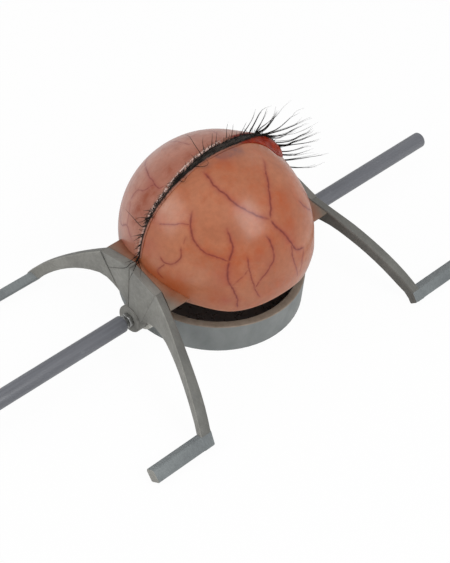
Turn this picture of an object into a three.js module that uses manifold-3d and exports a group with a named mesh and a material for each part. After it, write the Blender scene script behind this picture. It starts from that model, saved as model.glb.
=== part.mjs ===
// An eyelid demonstration model: two hinged half domes over a short ring, worked by four bent levers.
// Millimetres, +Z up. The origin is the centre of the ring's underside, X runs along the hinge line,
// and the lower lid lies on the -Y side. Left is the -X side.
import * as THREE from 'three';
import { mergeVertices } from 'three/addons/utils/BufferGeometryUtils.js';
import Module from 'manifold-3d';

const wasm = await Module();
wasm.setup();

// Driving dimensions of the base ring, a slice of thick plastic pipe with a black lining.
const ringRadius = 87;
const ringWall = 8;
const ringHeight = 31;
const ringEdge = 0.8;
const liningWall = 1;
const liningFloor = 1.6;
const liningHeight = 27;

// Driving dimensions of the hinge line. Pieces that touch lie one seat gap apart.
const seatGap = 0.3;
const pivotHeight = 21;
const studRadius = 4;
const studBore = 0.3;
const studInnerReach = 22;
const studInRod = 13;
const innerWasherRadius = 8;
const innerWasherThickness = 1.6;
const nutAcrossFlats = 13;
const innerNutThickness = 6.4;
const outerNutThickness = 4;
const nylonWasherRadius = 17;
const nylonWasherThickness = 5;
const rodRadius = 8;
const rodLength = 187;
const rodEdge = 1.2;
const rodStandOff = 3.2;

// Driving dimensions of the two lids. The upper lid lies on the +Y side and carries the lashes.
const domeHeight = 72.6;
const lidOverRing = 3;
const lowerOverUpper = 1.2;
const shellWall = 2.5;
const partingY = 11.2;
const domeSectors = 52;
const domeRows = 26;
const rimDrop = 13.4;
const rimDipInset = 37;
const rimDipDrop = 19.4;
const rimEndInset = 5;
const rimEndDrop = 11.8;
const lipHeight = 5;
const lipSweepStart = 13;
const lipSweepFull = 55;
const lipSweepFade = 60;
const lipSweepEnd = 86;
const lipSpread = 13;
const dentDepth = 3.8;
const dentSpread = 26;
const dentDirection = new THREE.Vector3(0.787, -0.243, 0.567).normalize();
const marginThickness = 1.4;
const marginSweep = 82;

// Driving dimensions of the side plates, lugs, hubs and flanges.
const hubRadius = 13.5;
const lugThickness = 2.8;
const lugReach = 42;
const lugLean = 15;
const lugTipRadius = 8;
const barThickness = 8.3;
const barEdge = 0.9;
const creaseY = 2.5;
const creaseLean = 0.056;
const lowerPeak = 80.6;
const upperPeak = 82.4;
const hubClearance = 1;
const flangeThickness = 1.6;
const lowerFlangeEnd = 46.5;
const flangeClearance = 2;
const flangeCornerY = 16.5;

// Driving dimensions of the levers: where each leaves its plate, and the foot that it ends in.
const footWidth = 11.2;
const footDepth = 9;
const leverStations = 13;
const lowerLever = {
  side: -1,
  rootTop: [29.3, 72.3],
  rootCorner: [15.5, 28.5],
  topAngles: [14.6, 50],
  topPulls: [45.6, 40.8],
  lowAngles: [31.5, 47.2],
  lowPulls: [71.5, 3.8],
  flareStart: 29.3,
  flareSlope: 0.353,
  footAngle: 49,
  footAcross: 139.1,
  footEnd: 202,
};
const rightLowerLever = {
  ...lowerLever,
  rootCorner: [20.8, 45.3],
  topAngles: [18.4, 50.1],
  topPulls: [44, 41.6],
  lowAngles: [55, 53],
  lowPulls: [31.1, 32.7],
  flareSlope: 0.3,
  footAcross: 140.4,
};
const upperLever = {
  side: 1,
  rootTop: [42.4, 75],
  rootCorner: [15.5, 44.5],
  topAngles: [32.2, 76],
  topPulls: [45.3, 15.1],
  lowAngles: [22.9, 58],
  lowPulls: [36.9, 43.9],
  flareStart: 38,
  flareSlope: 0.353,
  footAngle: 57,
  footAcross: 107.8,
  footEnd: 172,
};

// Driving dimensions of the lashes, strands on four slices of one backing band.
const lashSweepFrom = -80;
const lashSweepTo = 78;
const lashSlices = 4;
const lashRows = 4;
const strandsPerSlice = 76;
const bandSeat = 0.45;
const bandThickness = 1.3;
const bandNarrow = 2.2;
const bandWide = 4.6;
const bandSweepStep = 5;
const bandWideSweeps = [-50, -20];
const bandBackSweeps = [-15, 10];
const bandSetBack = 1.9;
const strandRadius = 0.42;
const strandShort = 7;
const strandLong = 41;
const strandLeanRatio = 0.5;
const strandSink = 0.7;
const longSweeps = [2, 36];
const shorterSweep = 66;
const leanSweeps = [12, 46];
const trailSweeps = [-20, 20];

// Places that follow from the driving dimensions. The lids grow with the ring that carries them.
const upperRadius = ringRadius + lidOverRing;
const lowerRadius = upperRadius + lowerOverUpper;
const ringInner = ringRadius - ringWall;
const rimDipReach = ringRadius - rimDipInset;
const rimEndReach = ringRadius - rimEndInset;
const nylonIn = ringRadius + seatGap;
const lugIn = nylonIn + nylonWasherThickness + seatGap;
const hubIn = lugIn + lugThickness + seatGap;
const plateIn = hubIn;
const plateOut = plateIn + barThickness;
const hubOut = plateOut + 1;
const nutIn = hubOut + seatGap;
const nutOut = nutIn + outerNutThickness;
const rodIn = nutOut + rodStandOff;
const rodOut = rodIn + rodLength;
const innerSeat = Math.sqrt(ringInner ** 2 - innerWasherRadius ** 2) - seatGap;
const innerWasherIn = innerSeat - innerWasherThickness;
const innerNutIn = innerWasherIn - seatGap - innerNutThickness;
const nutRadius = nutAcrossFlats / 2 / Math.cos(Math.PI / 6);
const boreRadius = studRadius + studBore;
const domeCentre = new THREE.Vector3(0, 0, domeHeight);
const upperEdgeY = partingY + seatGap + marginThickness + seatGap;

// The colours of the finishes.
const greyPlastic = new THREE.MeshStandardMaterial({ color: 0x84888a, roughness: 0.55, metalness: 0 });
const rodPlastic = new THREE.MeshStandardMaterial({ color: 0x6d7077, roughness: 0.5, metalness: 0 });
const ringPlastic = new THREE.MeshStandardMaterial({ color: 0x878f93, roughness: 0.5, metalness: 0 });
const blackLining = new THREE.MeshStandardMaterial({ color: 0x17181a, roughness: 0.35, metalness: 0 });
const zincSteel = new THREE.MeshStandardMaterial({ color: 0xc3c7c8, roughness: 0.3, metalness: 1 });
const whiteNylon = new THREE.MeshStandardMaterial({ color: 0xe4e4de, roughness: 0.45, metalness: 0 });
const lowerSkin = new THREE.MeshStandardMaterial({ color: 0xb8734f, roughness: 0.35, metalness: 0 });
const upperSkin = new THREE.MeshStandardMaterial({ color: 0xbc8070, roughness: 0.35, metalness: 0 });
const marginRed = new THREE.MeshStandardMaterial({ color: 0xb03a17, roughness: 0.4, metalness: 0 });
const lashBlack = new THREE.MeshStandardMaterial({ color: 0x15120f, roughness: 0.6, metalness: 0 });

const model = new THREE.Group();
const base = new THREE.Group();
const upperLid = new THREE.Group();
const lowerLid = new THREE.Group();
model.add(base, upperLid, lowerLid);

// Solids and meshes

// Turns the faces over if they point inwards.
function outward(geometry) {
  const place = geometry.getAttribute('position');
  const index = geometry.index.array;
  const [a, b, c] = [new THREE.Vector3(), new THREE.Vector3(), new THREE.Vector3()];
  let volume = 0;
  for (let i = 0; i < index.length; i += 3) {
    a.fromBufferAttribute(place, index[i]);
    b.fromBufferAttribute(place, index[i + 1]);
    c.fromBufferAttribute(place, index[i + 2]);
    volume += a.dot(b.cross(c));
  }
  if (volume < 0) {
    for (let i = 0; i < index.length; i += 3) {
      [index[i + 1], index[i + 2]] = [index[i + 2], index[i + 1]];
    }
  }
  return geometry;
}

// Leaves only positions and merges the shared vertices, so that the mesh is one closed skin.
function closed(geometry) {
  const bare = new THREE.BufferGeometry();
  bare.setAttribute('position', geometry.getAttribute('position').clone());
  if (geometry.index) bare.setIndex(geometry.index.clone());
  return outward(mergeVertices(bare, 1e-4));
}

function solid(geometry) {
  const mesh = closed(geometry);
  return new wasm.Manifold(new wasm.Mesh({
    numProp: 3,
    vertProperties: Float32Array.from(mesh.getAttribute('position').array),
    triVerts: Uint32Array.from(mesh.index.array),
  }));
}

function geometryOf(body) {
  const mesh = body.getMesh();
  const geometry = new THREE.BufferGeometry();
  geometry.setAttribute('position', new THREE.BufferAttribute(Float32Array.from(mesh.vertProperties), 3));
  geometry.setIndex(new THREE.BufferAttribute(Uint32Array.from(mesh.triVerts), 1));
  return geometry;
}

function mirrored(geometry) {
  return outward(closed(geometry).scale(-1, 1, 1));
}

function addMesh(group, name, geometry, material) {
  const mesh = new THREE.Mesh(geometry, material);
  mesh.name = name;
  group.add(mesh);
}

// Adds a piece made for the right side, and its mirror image on the left.
function addPair(group, name, body, material) {
  const right = geometryOf(body);
  addMesh(group, `right_${name}`, right, material);
  addMesh(group, `left_${name}`, mirrored(right), material);
}

// A skin over a row of closed sections, each a list of points in the same order, with flat ends.
function loft(sections) {
  const count = sections[0].length;
  const places = sections.flat().flatMap((point) => [point.x, point.y, point.z]);
  const index = [];
  for (let row = 0; row + 1 < sections.length; row += 1) {
    for (let i = 0; i < count; i += 1) {
      const a = row * count + i;
      const b = row * count + ((i + 1) % count);
      index.push(a, b, b + count, a, b + count, a + count);
    }
  }
  const last = (sections.length - 1) * count;
  for (let i = 1; i + 1 < count; i += 1) {
    index.push(0, i + 1, i, last, last + i, last + i + 1);
  }
  const geometry = new THREE.BufferGeometry();
  geometry.setAttribute('position', new THREE.Float32BufferAttribute(places, 3));
  geometry.setIndex(index);
  return outward(geometry);
}

// A round bar along X on the hinge line, with an optional chamfer at both ends.
function pin(radius, from, to, sides = 32, edge = 0) {
  const round = [[radius - edge, from], [radius, from + edge], [radius, to - edge], [radius - edge, to]];
  const profile = [[0, from], ...(edge > 0 ? round : [[radius, from], [radius, to]]), [0, to]];
  const geometry = new THREE.LatheGeometry(profile.map(([r, x]) => new THREE.Vector2(r, x)), sides);
  geometry.rotateZ(-Math.PI / 2);
  geometry.translate(0, 0, pivotHeight);
  return solid(geometry);
}

// A flat plate whose outline is drawn in the side plane, as pairs of y and z.
function plate(outline, from, to) {
  const shape = new THREE.Shape(outline.map(([y, z]) => new THREE.Vector2(y, z)));
  const geometry = new THREE.ExtrudeGeometry(shape, { depth: to - from, bevelEnabled: false });
  const turn = new THREE.Matrix4().makeBasis(
    new THREE.Vector3(0, 1, 0),
    new THREE.Vector3(0, 0, 1),
    new THREE.Vector3(1, 0, 0),
  );
  geometry.applyMatrix4(turn);
  geometry.translate(from, 0, 0);
  return solid(geometry);
}

function block(x, y, z) {
  const geometry = new THREE.BoxGeometry(x[1] - x[0], y[1] - y[0], z[1] - z[0]);
  geometry.translate((x[0] + x[1]) / 2, (y[0] + y[1]) / 2, (z[0] + z[1]) / 2);
  return solid(geometry);
}

// Base ring and its lining

function lathe(profile, sides) {
  const geometry = new THREE.LatheGeometry(profile.map(([r, z]) => new THREE.Vector2(r, z)), sides);
  geometry.rotateX(Math.PI / 2);
  return solid(geometry);
}

const ringProfile = [
  [ringInner + ringEdge, 0],
  [ringRadius - ringEdge, 0],
  [ringRadius, ringEdge],
  [ringRadius, ringHeight - ringEdge],
  [ringRadius - ringEdge, ringHeight],
  [ringInner + ringEdge, ringHeight],
  [ringInner, ringHeight - ringEdge],
  [ringInner, ringEdge],
  [ringInner + ringEdge, 0],
];
const studHoles = pin(boreRadius, -ringRadius - 1, ringRadius + 1, 24);
addMesh(base, 'base_ring', geometryOf(lathe(ringProfile, 72).subtract(studHoles)), ringPlastic);

const liningOuter = ringInner - seatGap;
const liningProfile = [
  [0, 0],
  [liningOuter, 0],
  [liningOuter, liningHeight],
  [liningOuter - liningWall, liningHeight],
  [liningOuter - liningWall, liningFloor],
  [0, liningFloor],
];
const washerHoles = pin(innerWasherRadius + seatGap, -ringInner, ringInner, 24);
addMesh(base, 'black_lining', geometryOf(lathe(liningProfile, 56).subtract(washerHoles)), blackLining);

// Fasteners and rods on the hinge line

const rodBore = pin(boreRadius, rodIn - 1, rodIn + studInRod + seatGap, 24);
const stud = pin(studRadius, innerNutIn + innerNutThickness - studInnerReach / 2, rodIn + studInRod, 24);
const hexagon = (from, to) => pin(nutRadius, from, to, 6).subtract(pin(boreRadius, from - 1, to + 1, 24));
const washer = (radius, from, thickness) => pin(radius, from, from + thickness)
  .subtract(pin(boreRadius, from - 1, from + thickness + 1, 24));
addPair(base, 'pivot_stud', stud, zincSteel);
addPair(base, 'inner_nut', hexagon(innerNutIn, innerNutIn + innerNutThickness), zincSteel);
addPair(base, 'inner_washer', washer(innerWasherRadius, innerWasherIn, innerWasherThickness), zincSteel);
addPair(base, 'nylon_washer', washer(nylonWasherRadius, nylonIn, nylonWasherThickness), whiteNylon);
addPair(base, 'outer_nut', hexagon(nutIn, nutOut), zincSteel);
addPair(base, 'support_rod', pin(rodRadius, rodIn, rodOut, 32, rodEdge).subtract(rodBore), rodPlastic);

// Lid shells

const smooth = (value, low, high) => THREE.MathUtils.smoothstep(value, low, high);

// The upper lid's edge stands proud towards the right, where its red margin shows. The sweep is the
// angle in degrees from the top of the dome towards the right.
function lipRise(sweep, y) {
  const across = (y - partingY) / lipSpread;
  const along = smooth(sweep, lipSweepStart, lipSweepFull) - smooth(sweep, lipSweepFade, lipSweepEnd);
  return lipHeight * along * Math.exp(-across * across);
}

// The lower lid is pressed in a little beside the proud end of the upper lid.
function dentFall(direction) {
  const away = direction.angleTo(dentDirection) * lowerRadius / dentSpread;
  return dentDepth * Math.exp(-away * away);
}

function dome(radiusAt) {
  const geometry = closed(new THREE.SphereGeometry(1, domeSectors, domeRows));
  const place = geometry.getAttribute('position');
  const direction = new THREE.Vector3();
  for (let i = 0; i < place.count; i += 1) {
    direction.fromBufferAttribute(place, i).normalize();
    const radius = radiusAt(direction);
    place.setXYZ(i, direction.x * radius, direction.y * radius, direction.z * radius + domeHeight);
  }
  return solid(geometry);
}

const upperSurface = (lift) => (direction) => {
  const sweep = THREE.MathUtils.radToDeg(Math.atan2(direction.x, direction.z));
  return upperRadius + lipRise(sweep, direction.y * upperRadius) + lift;
};
const lowerSurface = (lift) => (direction) => lowerRadius - dentFall(direction) + lift;

// Everything under a lid's wavy lower rim.
function belowRim() {
  const reach = ringRadius + 20;
  const points = [];
  for (const side of [-1, 1]) {
    const half = [
      new THREE.Vector3(side * reach, -rimEndDrop, 0),
      new THREE.Vector3(side * rimEndReach, -rimEndDrop, 0),
      new THREE.Vector3(side * (rimEndReach + rimDipReach) / 2, -(rimEndDrop + rimDipDrop) / 2, 0),
      new THREE.Vector3(side * rimDipReach, -rimDipDrop, 0),
    ];
    points.push(...(side < 0 ? half : half.reverse()));
    if (side < 0) points.push(new THREE.Vector3(0, -rimDrop, 0));
  }
  const wave = new THREE.CatmullRomCurve3(points).getPoints(24);
  const shape = new THREE.Shape([
    new THREE.Vector2(-reach, -2 * domeHeight),
    new THREE.Vector2(reach, -2 * domeHeight),
    ...wave.reverse().map((point) => new THREE.Vector2(point.x, point.y)),
  ]);
  const geometry = new THREE.ExtrudeGeometry(shape, { depth: 2 * reach, bevelEnabled: false });
  geometry.rotateX(Math.PI / 2);
  geometry.translate(0, reach, domeHeight);
  return solid(geometry);
}

const wide = ringRadius + 40;
const lowerSide = block([-wide, wide], [-wide, partingY], [0, 2 * wide]);
const upperSide = block([-wide, wide], [upperEdgeY, wide], [0, 2 * wide]);
const lowerShell = dome(lowerSurface(0)).subtract(dome(lowerSurface(-shellWall)));
const upperShell = dome(upperSurface(0)).subtract(dome(upperSurface(-shellWall)));
addMesh(lowerLid, 'lower_lid_shell', geometryOf(lowerShell.intersect(lowerSide).subtract(belowRim())), lowerSkin);
addMesh(upperLid, 'upper_lid_shell', geometryOf(upperShell.intersect(upperSide).subtract(belowRim())), upperSkin);

// A point over the upper lid at a given sweep and y.
function overUpperLid(sweep, y, lift) {
  const angle = THREE.MathUtils.degToRad(sweep);
  const radius = upperRadius + lipRise(sweep, y) + lift;
  const flat = Math.sqrt(radius * radius - y * y);
  return new THREE.Vector3(flat * Math.sin(angle), y, domeHeight + flat * Math.cos(angle));
}

const marginSections = [];
for (let sweep = -marginSweep; sweep <= marginSweep; sweep += 4) {
  const near = partingY + seatGap;
  const far = near + marginThickness;
  marginSections.push([
    overUpperLid(sweep, near, 0),
    overUpperLid(sweep, far, 0),
    overUpperLid(sweep, far, -shellWall),
    overUpperLid(sweep, near, -shellWall),
  ]);
}
addMesh(upperLid, 'upper_lid_margin', closed(loft(marginSections)), marginRed);

// Levers

// The outer face of a lever or plate at a distance across from the hinge line.
const outerFace = (lever, across) => plateOut + lever.flareSlope * Math.max(0, across - lever.flareStart);

// The corners of a foot's section in the side plane: distance across from the hinge line, and height.
function footSection(lever) {
  const slope = THREE.MathUtils.degToRad(lever.footAngle);
  const along = new THREE.Vector2(Math.cos(slope), -Math.sin(slope)).multiplyScalar(footWidth / 2);
  const out = new THREE.Vector2(Math.sin(slope), Math.cos(slope)).multiplyScalar(footDepth / 2);
  const centre = new THREE.Vector2(lever.footAcross, out.y - along.y);
  return {
    outTop: centre.clone().sub(along).add(out),
    outTip: centre.clone().add(along).add(out),
    inTip: centre.clone().add(along).sub(out),
    inTop: centre.clone().sub(along).sub(out),
  };
}

// An edge of a lever in the side plane, from its root to its heel, as a curve of two end slopes.
function leverEdge(from, to, rootFall, heelFall, pulls) {
  const turns = [rootFall, heelFall].map(THREE.MathUtils.degToRad);
  return new THREE.CubicBezierCurve(
    from,
    new THREE.Vector2(from.x + pulls[0] * Math.cos(turns[0]), from.y - pulls[0] * Math.sin(turns[0])),
    new THREE.Vector2(to.x - pulls[1] * Math.cos(turns[1]), to.y + pulls[1] * Math.sin(turns[1])),
    to,
  );
}

function topEdge(lever) {
  const root = new THREE.Vector2(...lever.rootTop);
  return leverEdge(root, footSection(lever).outTip, ...lever.topAngles, lever.topPulls);
}

function lowEdge(lever) {
  const root = new THREE.Vector2(...lever.rootCorner);
  const [rise, fall] = lever.lowAngles;
  return leverEdge(root, footSection(lever).inTip, -rise, fall, lever.lowPulls);
}

// A bar section between two points of the side plane, chamfered, and set out by the lever's flare.
function barSection(lever, top, low) {
  const down = low.clone().sub(top).normalize().multiplyScalar(barEdge);
  const at = (point, inset) => new THREE.Vector3(
    outerFace(lever, point.x) - inset,
    lever.side * point.x,
    point.y,
  );
  const upper = top.clone().add(down);
  const lower = low.clone().sub(down);
  return [
    at(upper, 0),
    at(lower, 0),
    at(low, barEdge),
    at(low, barThickness - barEdge),
    at(lower, barThickness),
    at(upper, barThickness),
    at(top, barThickness - barEdge),
    at(top, barEdge),
  ];
}

function leverSolid(lever) {
  const top = topEdge(lever);
  const low = lowEdge(lever);
  const sections = [];
  for (let i = 0; i <= leverStations; i += 1) {
    const share = i / leverStations;
    sections.push(barSection(lever, top.getPointAt(share), low.getPointAt(share)));
  }
  const corners = footSection(lever);
  const loop = [corners.outTop, corners.outTip, corners.inTip, corners.inTop];
  const around = [];
  loop.forEach((corner, i) => {
    const before = loop[(i + 3) % 4].clone().sub(corner).normalize().multiplyScalar(barEdge);
    const after = loop[(i + 1) % 4].clone().sub(corner).normalize().multiplyScalar(barEdge);
    around.push(corner.clone().add(before), corner.clone().add(after));
  });
  const footIn = outerFace(lever, corners.inTop.x) - barThickness;
  const ring = (x, shrink) => around.map((point) => {
    const centre = corners.outTop.clone().add(corners.inTip).multiplyScalar(0.5);
    const moved = point.clone().sub(centre).multiplyScalar(shrink).add(centre);
    return new THREE.Vector3(x, lever.side * moved.x, moved.y);
  });
  const endShrink = 1 - 2 * barEdge / footWidth;
  const foot = loft([
    ring(footIn + 2 * barEdge, 1),
    ring(lever.footEnd - barEdge, 1),
    ring(lever.footEnd, endShrink),
  ]);
  return solid(loft(sections)).add(solid(foot));
}

addMesh(lowerLid, 'right_lower_lever', geometryOf(leverSolid(rightLowerLever)), greyPlastic);
addMesh(lowerLid, 'left_lower_lever', mirrored(geometryOf(leverSolid(lowerLever))), greyPlastic);
addPair(upperLid, 'upper_lever', leverSolid(upperLever), greyPlastic);

// Side plates, hubs and lugs

const creaseAt = (z) => creaseY + creaseLean * (z - pivotHeight - hubRadius);
const onHub = (degrees, radius) => [
  radius * Math.cos(THREE.MathUtils.degToRad(degrees)),
  pivotHeight + radius * Math.sin(THREE.MathUtils.degToRad(degrees)),
];

// The point that lies beside a lever's root line, one seat gap towards the crease.
function besideRoot(lever, point) {
  const top = new THREE.Vector2(...lever.rootTop);
  const along = new THREE.Vector2(...lever.rootCorner).sub(top).normalize();
  const across = point[0] + along.y * seatGap;
  return [lever.side * across, point[1] - along.x * seatGap];
}

const saddleRadius = hubRadius + seatGap;
const saddleFrom = THREE.MathUtils.radToDeg(Math.atan2(lowerLever.rootCorner[1] - pivotHeight, -lowerLever.rootCorner[0]));
const saddleTo = THREE.MathUtils.radToDeg(Math.acos(creaseY / saddleRadius));
const saddle = [];
for (let i = 0; i <= 6; i += 1) {
  saddle.push(onHub(saddleFrom + (saddleTo - saddleFrom) * i / 6, saddleRadius));
}
const lowerPlateOutline = [
  [creaseAt(lowerPeak), lowerPeak],
  besideRoot(lowerLever, lowerLever.rootTop),
  besideRoot(lowerLever, lowerLever.rootCorner),
  ...saddle,
];
addPair(lowerLid, 'lower_plate', plate(lowerPlateOutline, plateIn, plateOut), greyPlastic);

const upperPlateFoot = pivotHeight + hubRadius + hubClearance;
const upperPlateOutline = [
  [creaseAt(upperPeak) + seatGap, upperPeak],
  [creaseAt(upperPlateFoot) + seatGap, upperPlateFoot],
  besideRoot(upperLever, upperLever.rootCorner),
  besideRoot(upperLever, upperLever.rootTop),
];
addPair(upperLid, 'upper_plate', plate(upperPlateOutline, plateIn, plateOut), greyPlastic);

const hubBore = pin(boreRadius, hubIn - 1, hubOut + 1, 24);
addPair(lowerLid, 'lower_hub', pin(hubRadius, hubIn, hubOut, 32, 0.7).subtract(hubBore), greyPlastic);

// The lug is a round eye on the stud with a strap that runs up behind the upper plate.
function lugOutline() {
  const lean = Math.atan2(lugLean, lugReach);
  const length = Math.hypot(lugLean, lugReach);
  const open = Math.asin((hubRadius - lugTipRadius) / length);
  const outline = [];
  const arc = (centre, radius, from, to, steps) => {
    for (let i = 0; i <= steps; i += 1) {
      const angle = from + (to - from) * i / steps;
      outline.push([centre[0] + radius * Math.sin(angle), centre[1] + radius * Math.cos(angle)]);
    }
  };
  arc([0, pivotHeight], hubRadius, lean + Math.PI / 2 - open, lean + 1.5 * Math.PI + open, 24);
  arc([lugLean, pivotHeight + lugReach], lugTipRadius, lean - Math.PI / 2 + open, lean + Math.PI / 2 - open, 10);
  return outline;
}
const lug = plate(lugOutline(), lugIn, lugIn + lugThickness)
  .subtract(pin(boreRadius, lugIn - 1, lugIn + lugThickness + 1, 24));
addPair(upperLid, 'upper_lug', lug, greyPlastic);

// Flanges, thin sheets from the shells to the plates

// The height of a plate's and lever's upper edge at a distance across from the hinge line.
function topEdgeAt(lever, peak, y) {
  const across = Math.abs(y);
  const peakAcross = lever.side * creaseAt(peak);
  if (across >= lever.rootTop[0]) {
    const edge = topEdge(lever);
    let low = 0;
    let high = 1;
    for (let i = 0; i < 30; i += 1) {
      const middle = (low + high) / 2;
      if (edge.getPoint(middle).x < across) low = middle;
      else high = middle;
    }
    return edge.getPoint(low).y;
  }
  const share = (lever.side * y - peakAcross) / (lever.rootTop[0] - peakAcross);
  return peak + (lever.rootTop[1] - peak) * share;
}

function flange(lever, peak, from, to) {
  const steps = 6;
  const sections = [];
  for (let i = 0; i <= steps; i += 1) {
    const y = from + (to - from) * i / steps;
    const top = topEdgeAt(lever, peak, y) - barEdge / 2;
    const beyondRoot = Math.max(0, Math.abs(y) - lever.rootTop[0]);
    const outer = plateIn - seatGap + lever.flareSlope * beyondRoot;
    sections.push([
      new THREE.Vector3(outer, y, top),
      new THREE.Vector3(outer, y, top - flangeThickness),
      new THREE.Vector3(upperRadius / 2, y, top - flangeThickness),
      new THREE.Vector3(upperRadius / 2, y, top),
    ]);
  }
  return solid(loft(sections));
}

const lowerFill = dome(lowerSurface(seatGap));
const upperFill = dome(upperSurface(seatGap));
const lowerFlange = (lever) => geometryOf(
  flange(lever, lowerPeak, creaseAt(lowerPeak), -lowerFlangeEnd).subtract(lowerFill),
);
const upperFlangeFrom = creaseAt(upperPeak) + seatGap;
const upperFlangeCorner = Math.sqrt((upperRadius + seatGap) ** 2 - flangeCornerY ** 2) - seatGap;
const besideLowerLid = new THREE.ExtrudeGeometry(new THREE.Shape([
  new THREE.Vector2(upperRadius / 3, upperFlangeFrom - 1),
  new THREE.Vector2(lowerRadius + flangeClearance, upperFlangeFrom - 1),
  new THREE.Vector2(lowerRadius + flangeClearance, upperFlangeFrom),
  new THREE.Vector2(upperFlangeCorner, flangeCornerY),
  new THREE.Vector2(upperRadius / 3, flangeCornerY),
]), { depth: 2 * domeHeight, bevelEnabled: false });
const upperFlange = flange(upperLever, upperPeak, upperFlangeFrom, upperLever.rootTop[0])
  .subtract(upperFill).subtract(solid(besideLowerLid));
addMesh(lowerLid, 'right_lower_flange', lowerFlange(rightLowerLever), greyPlastic);
addMesh(lowerLid, 'left_lower_flange', mirrored(lowerFlange(lowerLever)), greyPlastic);
addPair(upperLid, 'upper_flange', upperFlange, greyPlastic);

// Lashes

// A curved strand with three sides that ends in a point.
function strand(root, middle, tip, radius) {
  const curve = new THREE.QuadraticBezierCurve3(root, middle, tip);
  const sections = [];
  const across = new THREE.Vector3(0, 1, 0);
  for (const [t, share] of [[0, 1], [0.45, 0.75], [1, 0.28]]) {
    const place = curve.getPoint(t);
    const heading = curve.getTangent(t);
    const first = across.clone().cross(heading).normalize();
    const second = heading.clone().cross(first).normalize();
    const ring = [];
    for (let i = 0; i < 3; i += 1) {
      const angle = i * 2 * Math.PI / 3;
      ring.push(place.clone()
        .addScaledVector(first, radius * share * Math.cos(angle))
        .addScaledVector(second, radius * share * Math.sin(angle)));
    }
    sections.push(ring);
  }
  return solid(loft(sections));
}

const bandWidthAt = (sweep) => bandNarrow + (bandWide - bandNarrow) * smooth(sweep, ...bandWideSweeps);
const bandFront = (sweep) => upperEdgeY + bandSetBack * smooth(sweep, ...bandBackSweeps);

function bandSlice(from, to) {
  const sections = [];
  const steps = Math.ceil((to - from) / bandSweepStep);
  for (let i = 0; i <= steps; i += 1) {
    const sweep = from + (to - from) * i / steps;
    const near = bandFront(sweep);
    const far = near + bandWidthAt(sweep);
    sections.push([
      overUpperLid(sweep, near, bandSeat),
      overUpperLid(sweep, far, bandSeat),
      overUpperLid(sweep, far, bandSeat + bandThickness),
      overUpperLid(sweep, near, bandSeat + bandThickness),
    ]);
  }
  return solid(loft(sections));
}

// Strands stand in rows across the band. Towards the right they are longer, lean forward over the
// lower lid and sweep up and to the right at their tips. The rows fan out, so that none cross.
function lashStrand(sweep, row) {
  const right = smooth(sweep, ...longSweeps);
  const length = strandShort + (strandLong - strandShort) * right * (1 - 0.2 * smooth(sweep, shorterSweep, lashSweepTo));
  const y = bandFront(sweep) + bandWidthAt(sweep) * (row + 0.7) / (lashRows + 0.4);
  const root = overUpperLid(sweep, y, bandSeat + bandThickness - strandSink);
  const angle = THREE.MathUtils.degToRad(sweep);
  const up = new THREE.Vector3(Math.sin(angle), 0, Math.cos(angle));
  const along = new THREE.Vector3(Math.cos(angle), 0, -Math.sin(angle));
  const forward = new THREE.Vector3(0, -1, 0);
  const fan = 1 - 2 * row / (lashRows - 1);
  const lean = strandLeanRatio * smooth(sweep, ...leanSweeps) + 0.16 * fan * (1 - 0.6 * right);
  const middle = root.clone().addScaledVector(up, length * 0.42)
    .addScaledVector(forward, length * lean * 0.62);
  const tip = root.clone().addScaledVector(up, length * 0.93)
    .addScaledVector(along, length * 0.22 * smooth(sweep, ...trailSweeps))
    .addScaledVector(forward, length * lean);
  return strand(root, middle, tip, strandRadius);
}

const sliceNames = ['left', 'middle_left', 'middle_right', 'right'];
for (let slice = 0; slice < lashSlices; slice += 1) {
  const span = (lashSweepTo - lashSweepFrom) / lashSlices;
  const from = lashSweepFrom + span * slice;
  const gapAngle = THREE.MathUtils.radToDeg(seatGap / upperRadius);
  let body = bandSlice(from + gapAngle / 2, from + span - gapAngle / 2);
  const strands = [];
  for (let i = 0; i < strandsPerSlice; i += 1) {
    const share = (i + 0.5) / strandsPerSlice;
    strands.push(lashStrand(from + 1 + (span - 2) * share, i % lashRows));
  }
  body = wasm.Manifold.union([body, ...strands]);
  addMesh(upperLid, `lashes_${sliceNames[slice]}`, geometryOf(body), lashBlack);
}

export default model;
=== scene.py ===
import math
import random

import bpy
from mathutils import Matrix, Vector, kdtree, noise


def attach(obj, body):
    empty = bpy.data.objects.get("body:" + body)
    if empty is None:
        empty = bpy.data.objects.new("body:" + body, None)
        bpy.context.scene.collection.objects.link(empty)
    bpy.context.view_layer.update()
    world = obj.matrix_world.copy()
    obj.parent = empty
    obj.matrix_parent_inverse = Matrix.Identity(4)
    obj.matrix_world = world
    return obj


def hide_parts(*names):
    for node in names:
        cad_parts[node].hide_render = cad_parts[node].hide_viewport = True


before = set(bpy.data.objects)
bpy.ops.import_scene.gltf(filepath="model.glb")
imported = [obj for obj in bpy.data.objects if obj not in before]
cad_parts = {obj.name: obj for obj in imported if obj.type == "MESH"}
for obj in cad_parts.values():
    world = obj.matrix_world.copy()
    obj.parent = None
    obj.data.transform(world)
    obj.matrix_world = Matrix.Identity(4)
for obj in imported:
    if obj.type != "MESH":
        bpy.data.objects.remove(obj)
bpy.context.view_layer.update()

# Sizes of the eyelid model in metres. X runs along the hinge line and Z is up.
MM = 0.001
dome_height = 72.6 * MM
dome_centre = Vector((0, 0, dome_height))
upper_radius = 90 * MM
lower_radius = 91.2 * MM
shell_wall = 2.5 * MM
parting_y = 11.2 * MM
upper_skin_y = 13.2 * MM
pivot_height = 21 * MM
both_ends = ((-1, "left"), (1, "right"))

# One seed for the noise that shakes painted lines and filler, so that each run gives the same result
noise.seed_set(11)


def smooth(value, low, high):
    """A share that rises gently from 0 at low to 1 at high."""
    share = min(1, max(0, (value - low) / (high - low)))
    return share * share * (3 - 2 * share)


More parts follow.
